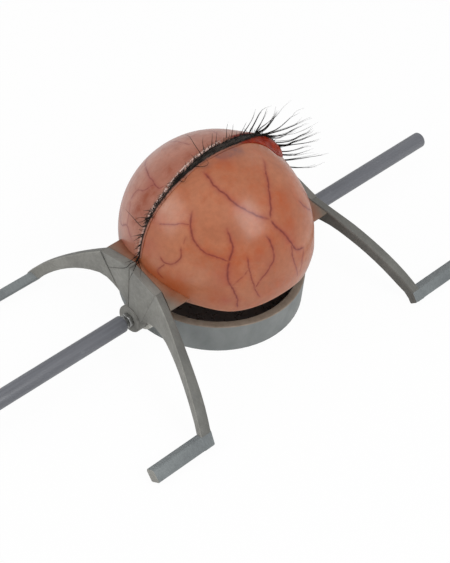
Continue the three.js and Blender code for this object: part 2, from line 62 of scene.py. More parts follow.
def along_table(table, at):
    """A value read off a table of (place, value) pairs, straight between them."""
    if at <= table[0][0]:
        return table[0][1]
    for (low, first), (high, second) in zip(table, table[1:]):
        if at <= high:
            return first + (second - first) * (at - low) / (high - low)
    return table[-1][1]


# Camera, at the place from which the model is seen

bpy.ops.object.camera_add(location=(-0.8749, -0.7654, 1.1338))
camera = bpy.context.object
camera.name = "camera"
across = Vector((0.7092, -0.6996, 0.0873))
upward = Vector((0.4466, 0.5416, 0.7122))
backward = across.cross(upward).normalized()
turn = Matrix((across, upward, backward)).transposed().to_4x4()
camera.matrix_world = Matrix.Translation(camera.location) @ turn
camera.data.lens = 110.05
camera.data.sensor_width = 36
camera.data.clip_end = 20
bpy.context.scene.camera = camera


# Nodes and patterns that the finishes share

def emptied(owner):
    """The node tree of a material or the world, with nothing in it."""
    owner.use_nodes = True
    owner.node_tree.nodes.clear()
    return owner.node_tree


def blank_material(name):
    material = bpy.data.materials.new(name)
    tree = emptied(material)
    output = tree.nodes.new("ShaderNodeOutputMaterial")
    shader = tree.nodes.new("ShaderNodeBsdfPrincipled")
    tree.links.new(shader.outputs["BSDF"], output.inputs["Surface"])
    return material, tree, shader


def srgb(red, green, blue):
    """A colour written as it looks, from 0 to 255, turned into the shader's own scale."""
    return tuple((part / 255 / 12.92 if part <= 10 else ((part / 255 + 0.055) / 1.055) ** 2.4)
                 for part in (red, green, blue)) + (1,)


def put(tree, part, socket):
    """Sets a socket to a number or a colour, or links it to a pattern."""
    if isinstance(part, (int, float, tuple)):
        socket.default_value = part
    else:
        tree.links.new(part, socket)


def node_with(tree, kind, parts):
    """A new node with a number, a colour or a pattern in each socket that is named."""
    node = tree.nodes.new(kind)
    for name, part in parts.items():
        put(tree, part, node.inputs[name])
    return node


def object_place(tree):
    return tree.nodes.new("ShaderNodeTexCoord").outputs["Object"]


def cloud(tree, scale, detail=4, rough=0.5, stretch=(1, 1, 1), warp=0):
    """A cloudy pattern. Scale is its patches in a metre, and stretch makes grain that runs one way."""
    mapping = node_with(tree, "ShaderNodeMapping", {"Scale": stretch, "Vector": object_place(tree)})
    texture = node_with(tree, "ShaderNodeTexNoise", {
        "Scale": scale,
        "Detail": detail,
        "Roughness": rough,
        "Distortion": warp,
        "Vector": mapping.outputs["Vector"],
    })
    return texture.outputs["Fac"]


def spread(tree, value, low, high, to_low=0, to_high=1):
    """Takes a value between low and high to the range that is wanted, and holds it there."""
    node = node_with(tree, "ShaderNodeMapRange", {
        "From Min": low,
        "From Max": high,
        "To Min": to_low,
        "To Max": to_high,
        "Value": value,
    })
    node.clamp = True
    return node.outputs["Result"]


def patchy(tree, scale, detail, rough, to_low=0, to_high=1, stretch=(1, 1, 1)):
    """A cloudy pattern that fills the range that is wanted."""
    return spread(tree, cloud(tree, scale, detail, rough, stretch), 0.3, 0.7, to_low, to_high)


def reckon(tree, kind, first, second):
    node = tree.nodes.new("ShaderNodeMath")
    node.operation = kind
    put(tree, first, node.inputs[0])
    put(tree, second, node.inputs[1])
    return node.outputs["Value"]


def blend_colour(tree, share, first, second, kind="MIX"):
    node = tree.nodes.new("ShaderNodeMix")
    node.data_type = "RGBA"
    node.blend_type = kind
    for socket, part in ((0, share), (6, first), (7, second)):
        put(tree, part, node.inputs[socket])
    return node.outputs[2]


def painted(tree, name):
    """The three shares of paint that a piece carries at each point under a name."""
    attribute = tree.nodes.new("ShaderNodeAttribute")
    attribute.attribute_name = name
    return node_with(tree, "ShaderNodeSeparateColor", {"Color": attribute.outputs["Color"]}).outputs[:3]


def surfaced(tree, shader, colour, roughness, height, strength, depth):
    """Gives a finish its colour, its roughness and its bumps, whose depth is in millimetres."""
    put(tree, colour, shader.inputs["Base Color"])
    put(tree, roughness, shader.inputs["Roughness"])
    bump = node_with(tree, "ShaderNodeBump", {"Strength": strength, "Distance": depth * MM, "Height": height})
    tree.links.new(bump.outputs["Normal"], shader.inputs["Normal"])


def lacquered(shader, shine, coat, coat_roughness):
    shader.inputs["Specular IOR Level"].default_value = shine
    shader.inputs["Coat Weight"].default_value = coat
    shader.inputs["Coat Roughness"].default_value = coat_roughness


# Finishes

def scuffed_grey(name, light, dark, pale):
    """Grey sheet and cast plastic, hand sanded: cloudy, grained, with pale scuffs."""
    material, tree, shader = blank_material(name)
    patches = spread(tree, cloud(tree, 42, 5, 0.6), 0.32, 0.68)
    colour = blend_colour(tree, patches, dark, light)
    grain = cloud(tree, 900, 3, 0.7, (1, 0.35, 0.35))
    colour = blend_colour(tree, 1.0, colour, spread(tree, grain, 0.3, 0.7, 0.86, 1.1), "MULTIPLY")
    scuffs = spread(tree, cloud(tree, 150, 6, 0.72, (1, 0.3, 0.6), 0.8), 0.6, 0.72, 0, 0.5)
    colour = blend_colour(tree, scuffs, colour, pale)
    height = reckon(tree, "ADD", grain, cloud(tree, 130, 3, 0.5))
    surfaced(tree, shader, colour, patchy(tree, 120, 4, 0.6, 0.42, 0.62), height,
             strength=0.35, depth=0.3)
    return material


grey_arm = scuffed_grey("scuffed_grey", srgb(142, 141, 135), srgb(122, 121, 116), srgb(166, 164, 156))
# Sawn sides of the levers: a darker copy of the grey, as painted shade on the faces that don't face sideways
sawn_grey_shaded = scuffed_grey("sawn_edge_painted_shade", srgb(108, 108, 103), srgb(93, 93, 89), srgb(126, 124, 117))
# Faces that turn towards the middle: a darker copy of the grey, as painted shade
inner_grey_shaded = scuffed_grey("inner_face_painted_shade", srgb(102, 99, 94), srgb(88, 86, 81), srgb(119, 116, 109))
grey_foot = scuffed_grey("rubbed_foot", srgb(121, 127, 128), srgb(105, 110, 112), srgb(141, 146, 147))
# Eased edges and the plates' sawn sides: a darker copy of the grey with its pale scuffs, as painted shade
edge_grey_shaded = scuffed_grey("sanded_edge_painted_shade", srgb(124, 122, 116), srgb(106, 104, 99), srgb(146, 144, 136))


def flange_finish():
    """Grey plastic with the skin colour brushed over it beside the lid and fading outwards, its brown there
    partly painted shade and a painted reflection of the orange dome.
    """
    material, tree, shader = blank_material("flange_paint_and_shade")
    away = tree.nodes.new("ShaderNodeVectorMath")
    away.operation = "DISTANCE"
    away.inputs[1].default_value = dome_centre
    tree.links.new(object_place(tree), away.inputs[0])
    reach = reckon(tree, "ADD", away.outputs["Value"], patchy(tree, 90, 5, 0.65, -3 * MM, 3 * MM))
    # Beside the lid the skin colour is brushed paint, and also painted shade and a painted reflection of the
    # orange dome
    bare = spread(tree, reach, 93 * MM, 107 * MM)
    grey = blend_colour(tree, patchy(tree, 60, 5, 0.6), srgb(94, 82, 70), srgb(114, 102, 90))
    skin = blend_colour(tree, patchy(tree, 90, 4, 0.5), srgb(126, 72, 46), srgb(146, 94, 66))
    colour = blend_colour(tree, bare, skin, grey)
    specks = spread(tree, cloud(tree, 300, 4, 0.7), 0.62, 0.7, 0, 0.6)
    specks = reckon(tree, "MULTIPLY", specks, spread(tree, bare, 0, 1, 1, 0))
    colour = blend_colour(tree, specks, colour, srgb(140, 66, 52))
    surfaced(tree, shader, colour, spread(tree, bare, 0, 1, 0.38, 0.55), cloud(tree, 400, 4, 0.6),
             strength=0.3, depth=0.3)
    return material


flange_paint_and_shade = flange_finish()


def skin_finish(name, tones):
    """Hand painted skin under lacquer, with veins, halos and flushes, orange spots, milky spots of which some
    are painted highlight, and dusky spots of painted shade.
    """
    material, tree, shader = blank_material(name)
    patches = spread(tree, cloud(tree, 26, 4, 0.55, warp=0.6), 0.36, 0.64)
    colour = blend_colour(tree, patches, tones["ground"], tones["light"])
    warm = spread(tree, cloud(tree, 48, 5, 0.62, warp=0.4), 0.5, 0.68, 0, 0.55)
    colour = blend_colour(tree, warm, colour, tones["orange"])
    sponge = spread(tree, cloud(tree, 210, 5, 0.7), 0.35, 0.65, 0.92, 1.07)
    colour = blend_colour(tree, 1.0, colour, sponge, "MULTIPLY")
    dabs = spread(tree, cloud(tree, 130, 5, 0.65, warp=0.5), 0.36, 0.62, 0.35, 1.0)
    vein, halo, flush = painted(tree, "paint")
    milk_and_highlight, orange, painted_shade = painted(tree, "tint")
    # Milky spots are pale paint and also carry a painted highlight, and dusky spots are painted shade
    spots = ((orange, 1.0, "orange"), (flush, 0.8, "flush"), (milk_and_highlight, 0.6, "milk_and_highlight"), (painted_shade, 0.9, "painted_shade"))
    for share, strength, tone in spots:
        dabbed = reckon(tree, "MULTIPLY", reckon(tree, "MULTIPLY", share, strength), dabs)
        colour = blend_colour(tree, dabbed, colour, tones[tone])
    colour = blend_colour(tree, reckon(tree, "MULTIPLY", halo, 0.6), colour, tones["halo"])
    uneven = spread(tree, cloud(tree, 260, 4, 0.6), 0.3, 0.55, 0.75, 1.0)
    colour = blend_colour(tree, reckon(tree, "MULTIPLY", vein, uneven), colour, tones["vein"])
    fine = reckon(tree, "MULTIPLY", cloud(tree, 620, 4, 0.7), 0.16)
    ripple = reckon(tree, "ADD", cloud(tree, 75, 3, 0.5), fine)
    height = reckon(tree, "ADD", reckon(tree, "MULTIPLY", vein, 0.35), ripple)
    surfaced(tree, shader, colour, patchy(tree, 160, 4, 0.6, 0.36, 0.56), height,
             strength=0.3, depth=0.6)
    lacquered(shader, shine=0.25, coat=0.6, coat_roughness=0.22)
    return material


lower_skin = skin_finish("lower_lid_skin", {
    "ground": srgb(160, 91, 58),
    "light": srgb(172, 104, 70),
    "orange": srgb(166, 76, 30),
    "flush": srgb(158, 66, 46),
    "milk_and_highlight": srgb(182, 128, 104),
    "painted_shade": srgb(114, 72, 68),
    "halo": srgb(146, 54, 38),
    "vein": srgb(104, 20, 10),
})
upper_skin = skin_finish("upper_lid_skin", {
    "ground": srgb(164, 103, 82),
    "light": srgb(176, 117, 97),
    "orange": srgb(142, 62, 28),
    "flush": srgb(148, 64, 50),
    "milk_and_highlight": srgb(184, 136, 120),
    "painted_shade": srgb(120, 72, 64),
    "halo": srgb(154, 76, 64),
    "vein": srgb(112, 28, 20),
})


def edge_finish():
    """The upper lid's thick edge: red and wet at the right, pink glue behind the lashes, and painted shade
    under them.
    """
    material, tree, shader = blank_material("lid_edge_paint")
    red, dark, pale = painted(tree, "paint")
    patches = spread(tree, cloud(tree, 110, 4, 0.6), 0.32, 0.68)
    skin = blend_colour(tree, patches, srgb(150, 96, 78), srgb(172, 118, 100))
    skin = blend_colour(tree, pale, skin, srgb(196, 158, 146))
    wet = blend_colour(tree, patches, srgb(112, 18, 0), srgb(160, 46, 4))
    colour = blend_colour(tree, red, skin, wet)
    # Darker under the lash band: painted shade
    colour = blend_colour(tree, dark, colour, srgb(52, 32, 26))
    surfaced(tree, shader, colour, 0.5, cloud(tree, 260, 4, 0.6), strength=0.4, depth=0.6)
    lacquered(shader, shine=0.1, coat=0.08, coat_roughness=0.2)
    return material


def rod_finish():
    """Drawn grey pipe, streaked along its length and scuffed by handling."""
    material, tree, shader = blank_material("grey_pipe")
    streaks = patchy(tree, 260, 4, 0.6, stretch=(0.04, 1, 1))
    colour = blend_colour(tree, streaks, srgb(96, 98, 104), srgb(113, 115, 121))
    marks = spread(tree, cloud(tree, 90, 6, 0.7), 0.62, 0.72, 0, 0.35)
    colour = blend_colour(tree, marks, colour, srgb(138, 140, 144))
    height = cloud(tree, 500, 3, 0.6, (0.06, 1, 1))
    surfaced(tree, shader, colour, patchy(tree, 150, 4, 0.6, 0.34, 0.48), height,
             strength=0.2, depth=0.2)
    return material


def ring_finish():
    """Grey pipe with a lathe-cut top that is browner and painted lighter than its side, as painted light in
    the dome's shade, and pale chips on it.
    """
    material, tree, shader = blank_material("ring_grey")
    patches = patchy(tree, 55, 5, 0.6, stretch=(1, 1, 0.6))
    side = blend_colour(tree, patches, srgb(112, 116, 116), srgb(130, 134, 133))
    # The top is painted lighter to stand in for light where the dome shades it
    top = blend_colour(tree, patchy(tree, 130, 5, 0.65), srgb(124, 108, 94), srgb(150, 134, 120))
    split = node_with(tree, "ShaderNodeSeparateXYZ", {"Vector": object_place(tree)})
    on_top = spread(tree, split.outputs["Z"], 30 * MM, 30.6 * MM)
    colour = blend_colour(tree, on_top, side, top)
    chips = reckon(tree, "MULTIPLY", spread(tree, cloud(tree, 420, 3, 0.5), 0.70, 0.76, 0, 0.8), on_top)
    colour = blend_colour(tree, chips, colour, srgb(196, 193, 186))
    height = cloud(tree, 350, 4, 0.6, (1, 1, 0.4))
    surfaced(tree, shader, colour, patchy(tree, 90, 4, 0.6, 0.4, 0.58), height,
             strength=0.25, depth=0.3)
    return material


def plain_finish(name, dark, light, scale, rough, metal=0, coat=0, bump=0.2, depth=0.2, shine=0.5):
    """A cloudy finish of two tones, with rough as the range of its roughness."""
    material, tree, shader = blank_material(name)
    colour = blend_colour(tree, patchy(tree, scale, 5, 0.6), dark, light)
    roughness = patchy(tree, scale * 2.3, 4, 0.6, *rough)
    surfaced(tree, shader, colour, roughness, cloud(tree, scale * 6, 4, 0.6), bump, depth)
    shader.inputs["Metallic"].default_value = metal
    lacquered(shader, shine, coat, coat_roughness=0.2)
    return material


edge_paint = edge_finish()
grey_pipe = rod_finish()
ring_grey = ring_finish()
resin_edge = plain_finish("cut_resin_edge", srgb(186, 158, 134), srgb(208, 184, 160), 160, (0.4, 0.6))
lid_inside = plain_finish("lid_inside", srgb(120, 84, 66), srgb(146, 108, 88), 60, (0.5, 0.7))
zinc = plain_finish("zinc_plate", srgb(150, 150, 148), srgb(196, 197, 196), 240, (0.22, 0.42), metal=1)
nylon = plain_finish("white_nylon", srgb(206, 205, 196), srgb(228, 227, 219), 120, (0.4, 0.55))
# The dark lining stands for the shade inside the ring under the dome: painted shade
lining_painted_shade = plain_finish("black_lining", srgb(44, 34, 31), srgb(66, 52, 47), 70, (0.22, 0.42), coat=0.3)
lash_black = plain_finish("lash_black", srgb(14, 10, 8), srgb(30, 23, 19), 300, (0.5, 0.7), shine=0.15)
band_black = plain_finish("matted_band", srgb(16, 12, 10), srgb(60, 50, 43), 420, (0.35, 0.6),
                          bump=0.8, depth=0.8, shine=0.3)
pale_glue = plain_finish("pale_glue", srgb(186, 146, 132), srgb(216, 190, 180), 380, (0.25, 0.45), coat=0.5)


# Bench work: the steps that the pieces share

def only(piece):
    bpy.ops.object.select_all(action="DESELECT")
    piece.select_set(True)
    bpy.context.view_layer.objects.active = piece


def start_from(add, **settings):
    """Adds a primitive with nothing else selected, and takes its place and scale into its mesh."""
    bpy.ops.object.select_all(action="DESELECT")
    add(**settings)
    piece = bpy.context.object
    bpy.ops.object.transform_apply(location=True, rotation=True, scale=True)
    return piece


def open_mesh(piece):
    only(piece)
    bpy.ops.object.mode_set(mode="EDIT")
    bpy.ops.mesh.select_all(action="SELECT")


def close_mesh():
    bpy.ops.object.mode_set(mode="OBJECT")


def subdivide_faces(piece, wanted, cuts):
    """Cuts up the faces for which wanted(centre, normal) is true."""
    only(piece)
    bpy.ops.object.mode_set(mode="EDIT")
    bpy.ops.mesh.select_mode(type="FACE")
    bpy.ops.mesh.select_all(action="DESELECT")
    close_mesh()
    for face in piece.data.polygons:
        face.select = wanted(face.center, face.normal)
    bpy.ops.object.mode_set(mode="EDIT")
    bpy.ops.mesh.subdivide(number_cuts=cuts)
    close_mesh()


def finish_with(piece, kind, **settings):
    only(piece)
    modifier = piece.modifiers.new(kind.lower(), kind)
    for name, value in settings.items():
        setattr(modifier, name, value)
    bpy.ops.object.modifier_apply(modifier=modifier.name)


def ease_edges(piece, width, segments, degrees, **settings):
    """Bevels the edges that turn by more than an angle. The width is in millimetres."""
    finish_with(piece, "BEVEL", width=width * MM, segments=segments, limit_method="ANGLE",
                angle_limit=math.radians(degrees), **settings)


def soft_shade(piece, degrees):
    only(piece)
    bpy.ops.object.shade_smooth_by_angle(angle=math.radians(degrees))


def give_materials(piece, *materials):
    piece.data.materials.clear()
    for material in materials:
        piece.data.materials.append(material)


def add_to_scene(name, data):
    piece = bpy.data.objects.new(name, data)
    bpy.context.scene.collection.objects.link(piece)
    return piece


def keep(piece, name, body, slot, *nodes):
    piece.name = name
    piece.data.name = name
    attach(piece, body)
    if nodes:
        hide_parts(*nodes)


# Lid skins

def lip_rise(sweep, y):
    """How far the upper lid's edge stands proud. The sweep is degrees from the top towards the right."""
    side = smooth(sweep, 13, 55) - smooth(sweep, 60, 86)
    return 5 * MM * side * math.exp(-((y - parting_y) / (13 * MM)) ** 2)


# The lower lid's shallow dents, each a direction from the dome's centre, a reach and a depth
dents = [
    (Vector((0.787, -0.243, 0.567)), 26 * MM, 3.8 * MM),
    (Vector((0.669, -0.05, 0.742)), 16 * MM, 3.4 * MM),
    (Vector((0.79, -0.42, 0.44)), 16 * MM, 4.2 * MM),
    (Vector((0.745, -0.61, 0.27)), 15 * MM, 4 * MM),
    (Vector((0.674, -0.73, 0.11)), 11 * MM, 4 * MM),
]


def lower_surface(direction):
    """The lower lid's radius in a direction from the dome's centre."""
    return lower_radius - sum(depth * math.exp(-(direction.angle(towards) * lower_radius / reach) ** 2)
                              for towards, reach, depth in dents)


def upper_surface(direction):
    sweep = math.degrees(math.atan2(direction.x, direction.z))
    return upper_radius + lip_rise(sweep, direction.y * upper_radius)


def on_lid(sweep, y, radius):
    """A point at a sweep in degrees and a y in metres, on a ball round the dome's centre."""
    flat = math.sqrt(max(0, radius * radius - y * y))
    angle = math.radians(sweep)
    return Vector((flat * math.sin(angle), y, dome_height + flat * math.cos(angle)))


# Millimetres from the dome's centre: the least drop of the lids' rim, and how high the shell bends with it
least_drop = 13.4
bend_top = 22


def rim_drop(x):
    """How far the lids' lower rim hangs below the dome's centre."""
    reach = abs(x) / MM
    return (least_drop + 6 * smooth(reach, 0, 50) - 7.6 * smooth(reach, 50, 82)) * MM


def smooth_through(points, step):
    """Close points on a smooth line through the given ones."""
    points = [2 * points[0] - points[1]] + points + [2 * points[-1] - points[-2]]
    line = []
    for i in range(1, len(points) - 2):
        before, first, second, after = points[i - 1:i + 3]
        steps = max(1, round((second - first).length / step))
        for count in range(steps):
            t = count / steps
            line.append((2 * first + (second - before) * t
                         + (2 * before - 5 * first + 4 * second - after) * t * t
                         + (3 * first - 3 * second + after - before) * t ** 3) / 2)
    line.append(points[-2])
    return line


def painted_line(route, radius, seed):
    """Close points along a line painted with a shaky hand through a route's points."""
    line = smooth_through([on_lid(sweep, y * MM, radius) for sweep, y in route], 0.4 * MM)
    offset = Vector((seed, 0, 0))
    wander = 0.9 * MM

    def shaken(at):
        slow = noise.noise_vector(at * 150 + offset) * wander
        return at + slow + noise.noise_vector(at * 520 + offset) * wander * 0.3

    return [shaken(at) for at in line]


# Veins, each a strength, a half width in millimetres at both ends, and a route of sweep and y.
lower_veins = [
    (0.95, 0.75, 1.05, [(-19.5, -3), (-19.9, -11.6), (-21.3, -19.8), (-21, -31.6), (-20.8, -41.1),
                        (-18.3, -52.5), (-13.8, -60.4), (-7, -66.9)]),
    (0.95, 1.0, 0.8, [(-7, -66.9), (-5.1, -72.4), (3.4, -79.2), (11.3, -83.8), (24, -86), (44.1, -85.2)]),
    (0.9, 0.7, 1.0, [(16.4, -23.8), (10.3, -37.5), (6.5, -46.7), (2.5, -54), (-0.7, -60.2),
                     (-6.1, -66.9)]),
    (0.75, 0.9, 0.45, [(9.6, -83.6), (13.7, -88), (50, -90.2), (100, -90)]),
    (0.7, 0.8, 0.45, [(44.1, -85.2), (55.9, -88.2), (90, -89.6)]),
    (0.85, 0.9, 0.5, [(-40.3, -20.5), (-46.9, -25.9), (-51.5, -31.2), (-55.1, -38.8), (-56.9, -47.6),
                      (-55.9, -55.4), (-54.9, -64.7)]),
    (0.9, 0.7, 0.95, [(-35.3, -50.1), (-39.5, -56.2), (-44.3, -61.9), (-49.5, -63.7), (-55, -64.5)]),
    (0.9, 0.95, 0.6, [(-55, -64.5), (-62.7, -66.4), (-71.4, -69.9), (-83.8, -75), (-96.6, -76.9),
                      (-107, -76.6)]),
    (0.85, 0.95, 0.5, [(-18.4, -72.6), (-18.4, -78.3), (-25.5, -83.6), (-43.1, -85.1), (-65, -84.4),
                       (-78.1, -83.8)]),
    (0.75, 0.75, 0.4, [(-43.7, -72.4), (-51.4, -76.3), (-61.3, -79.9), (-78, -83.5), (-99.7, -86)]),
    (0.6, 0.5, 0.35, [(-54.5, -76.8), (-67.8, -75), (-77.1, -71.8)]),
    (0.8, 0.55, 0.7, [(-61.5, -28.8), (-66.4, -31.6), (-71.2, -29.7), (-74.3, -25.4), (-75, -19.7),
                      (-73.3, -15)]),
    (0.7, 0.6, 0.4, [(-76, -20.2), (-81.1, -16), (-83.5, -16.7), (-85.9, -21.9)]),
    (0.75, 0.5, 0.55, [(-57.5, -0.3), (-53.8, -10.7), (-49.6, -19.4), (-47.6, -25.3)]),
    (0.4, 0.4, 0.4, [(-53.9, -28), (-58.5, -28.8)]),
    (0.85, 0.85, 0.5, [(34, -12), (38, -24), (47, -33), (52, -45), (63, -52), (78, -58)]),
    (0.75, 0.7, 0.4, [(47, -33), (58, -31), (70, -36), (84, -34)]),
    (0.8, 0.8, 0.45, [(30, -62), (40, -66), (55, -66), (70, -72), (90, -74)]),
    (0.7, 0.6, 0.35, [(68, -4), (72, -14), (80, -20), (95, -22)]),
]
upper_veins = [
    (0.85, 0.9, 0.5, [(-35.4, 56.7), (-38.6, 44.2), (-40.6, 32.6), (-41.5, 21.5), (-38.5, 17.6)]),
    (0.75, 0.6, 0.5, [(-60, 47), (-52, 44.7), (-48.2, 35.8), (-43.2, 30.8), (-41.7, 28.1)]),
    (0.7, 0.6, 0.4, [(-7.5, 60), (-7.5, 52.8), (-8.1, 40.2), (-7.9, 32.8)]),
    (0.6, 0.5, 0.4, [(16, 42), (14.5, 34), (10, 23)]),
    (0.85, 0.9, 0.5, [(-35.4, 56.7), (-30, 66), (-12, 73), (10, 74), (22, 69), (30, 60)]),
    (0.8, 0.8, 0.4, [(10, 74), (20, 80), (52, 84), (84, 82)]),
    (0.85, 0.8, 0.5, [(48, 22), (44, 34), (50, 46), (46, 58), (56, 68)]),
    (0.7, 0.6, 0.35, [(50, 46), (62, 50), (74, 48), (88, 54)]),
    (0.8, 0.8, 0.4, [(-78, 24), (-74, 36), (-80, 48), (-76, 60), (-86, 70)]),
    (0.7, 0.6, 0.35, [(-74, 36), (-64, 42), (-60, 47)]),
    (0.75, 0.7, 0.35, [(-12, 73), (-40, 80), (-70, 83), (-98, 80)]),
]
# Painted spots by their tone, each a sweep, a y, a radius in millimetres and a strength.
lower_spots = {
    "flush": [(-56.5, 8.8, 8, 0.9), (-71.4, -1.1, 12, 0.5), (-68.2, -66, 12, 0.6), (-93.9, -71.2, 6, 0.9),
              (5.8, -79.7, 9, 0.6), (-40, -80.6, 10, 0.4), (55, -40, 18, 0.5)],
    # The first milky spot lies under the front lamp's highlight: a painted highlight
    "milk_and_highlight": [(-16, -54, 12, 0.5), (-77.2, -50, 14, 0.7), (-46.8, 4.1, 7, 0.9), (-78.8, -9.9, 9, 0.6),
             (38.7, -17.3, 12, 0.8), (34.9, -52, 12, 0.7), (51.4, -81.8, 9, 0.8), (10.6, -19.8, 12, 0.7),
             (-48.5, -6.7, 12, 0.6)],
    "orange": [(-86.5, -12.2, 9, 0.9), (-87, -35.3, 12, 1), (-91.7, -62.3, 12, 0.7),
               (-49.4, -67.2, 10, 1), (-31.2, -75.5, 7, 0.9), (-4.9, -52.7, 6, 0.9), (-4, -43.7, 6, 0.7),
               (10.2, -60.1, 12, 1), (11.5, -74.2, 8, 0.9), (-9.6, -74.3, 7, 0.8), (-6, -11.4, 9, 0.8),
               (80, -60, 16, 0.7), (60, -10, 12, 0.6)],
    # Dusky spots just under the upper lid's edge and its band: painted shade
    "painted_shade": [(-0.3, -2.2, 9, 1), (5.5, -4.5, 7, 0.9), (-4.7, 2.9, 7, 0.9), (-15.5, 0.3, 6, 0.5)],
}
upper_spots = {
    "flush": [(-11.8, 16.1, 4, 1), (-87.4, 36, 4, 0.9), (-104, 49, 5, 0.8), (-42, 35.1, 7, 0.6),
              (30, 50, 16, 0.5)],
    "milk_and_highlight": [(-75.7, 44, 12, 0.7), (-14.6, 53.6, 12, 0.4), (-46.8, 77.6, 10, 0.7), (19.2, 22.1, 9, 0.7),
             (-35.9, 46.1, 9, 0.3), (40, 70, 16, 0.5)],
    "orange": [(-46, 27.5, 9, 1), (-56.7, 28.3, 10, 1), (-66, 30, 9, 0.7), (-16.4, 21, 9, 0.8),
               (-30, 25, 9, 0.8), (60, 30, 18, 0.8), (-60, 66, 14, 0.5)],
    # Dusky spots on the upper lid: painted shade
    "painted_shade": [(-88.6, 46.8, 5, 0.7), (20, 60, 14, 0.4)],
}


# How far from a vein the faces are fine, and how many times as wide as a vein its halo is
vein_reach = 1.9 * MM
halo_spread = 3.4


def spot_share(spots, tone, radius, at):
    """How strongly the spots of one tone show at a place."""
    total = 0
    for sweep, y, reach, share in spots[tone]:
        away = (at - on_lid(sweep, y * MM, radius)).length / (reach * MM)
        if away < 2.5:
            total += share * math.exp(-away * away)
    return min(1, total)


def vein_points(veins, radius, seed):
    """Every point of the veins, with its strength and half width there."""
    points = []
    for i, (strength, start, end, route) in enumerate(veins):
        line = painted_line(route, radius, seed + i * 7)
        for j, at in enumerate(line):
            share = j / len(line)
            taper = min(1, 12 * min(share + 0.02, 1.02 - share))
            points.append((at, strength * taper, (start + (end - start) * share) * MM))
    return points


def half_dome(cut_y, side, radius, skin):
    """A ball cut at the parting and at the rim and given its wall. A side of 1 keeps its front."""
    lid = start_from(bpy.ops.mesh.primitive_uv_sphere_add, segments=96, ring_count=48, radius=radius,
                     location=dome_centre, rotation=(math.pi / 2, 0, 0))
    open_mesh(lid)
    bpy.ops.mesh.bisect(plane_co=(0, cut_y, 0), plane_no=(0, side, 0), clear_outer=True)
    bpy.ops.mesh.select_all(action="SELECT")
    bpy.ops.mesh.bisect(plane_co=(0, 0, dome_height - least_drop * MM), plane_no=(0, 0, -1), clear_outer=True)
    close_mesh()
    for vertex in lid.data.vertices:
        near_rim = 1 - smooth((vertex.co.z - dome_height) / MM, -least_drop, bend_top)
        vertex.co.z -= (rim_drop(vertex.co.x) - least_drop * MM) * near_rim
    give_materials(lid, skin, resin_edge, lid_inside)
    finish_with(lid, "SOLIDIFY", thickness=shell_wall, offset=-1, material_offset=2, material_offset_rim=1)
    return lid


def lid_skin(cut_y, side, radius, skin, surface, veins, spots, seed):
    """A painted half dome with fine faces at its veins, so that their paint can be carried by its points."""
    lid = half_dome(cut_y, side, radius, skin)
    points = vein_points(veins, radius, seed)
    tree = kdtree.KDTree(len(points))
    for i, point in enumerate(points):
        tree.insert(point[0], i)
    tree.balance()

    def outer(centre, normal):
        return normal.dot((centre - dome_centre).normalized()) > 0.6

    def on_a_vein(centre, normal):
        on_ball = dome_centre + (centre - dome_centre).normalized() * radius
        return outer(centre, normal) and tree.find(on_ball)[2] < vein_reach

    subdivide_faces(lid, outer, cuts=4)
    subdivide_faces(lid, on_a_vein, cuts=2)
    paint = lid.data.color_attributes.new(name="paint", type="FLOAT_COLOR", domain="POINT")
    tint = lid.data.color_attributes.new(name="tint", type="FLOAT_COLOR", domain="POINT")
    for vertex in lid.data.vertices:
        rim_height = vertex.co.z - dome_height + rim_drop(vertex.co.x)
        arm = vertex.co - dome_centre
        direction = arm.normalized()
        inside = arm.length < radius - shell_wall / 2
        vertex.co = dome_centre + direction * (surface(direction) - (shell_wall if inside else 0))
        on_ball = dome_centre + direction * radius
        nearest = tree.find(on_ball)
        strength, width = points[nearest[1]][1:]
        width *= 1.0 + 0.4 * noise.noise(on_ball * 420)
        vein = strength * math.exp(-((nearest[2] / width) ** 2))
        halo = strength * math.exp(-((nearest[2] / (width * halo_spread)) ** 2))
        flush, milk_and_highlight, orange, painted_shade = (0 if inside else spot_share(spots, tone, radius, on_ball)
                                     for tone in ("flush", "milk_and_highlight", "orange", "painted_shade"))
        # Paler along the rim's lower edge
        pale_rim_edge = 1 - smooth(rim_height, 0.3 * MM, 2.2 * MM)
        paint.data[vertex.index].color = (vein, halo, flush, 1)
        tint.data[vertex.index].color = (max(milk_and_highlight, pale_rim_edge), orange, painted_shade, 1)
    soft_shade(lid, 40)
    return lid


keep(lid_skin(parting_y, 1, lower_radius, lower_skin, lower_surface, lower_veins, lower_spots, seed=3),
     "lower_lid_painted", "lower_lid", "lower_skin", "lower_lid_shell")
keep(lid_skin(upper_skin_y, -1, upper_radius, upper_skin, upper_surface, upper_veins, upper_spots, seed=91),
     "upper_lid_painted", "upper_lid", "upper_skin", "upper_lid_shell")


# The upper lid's edge, which overlaps the lower lid, with the matted band, the glue and the lashes on it

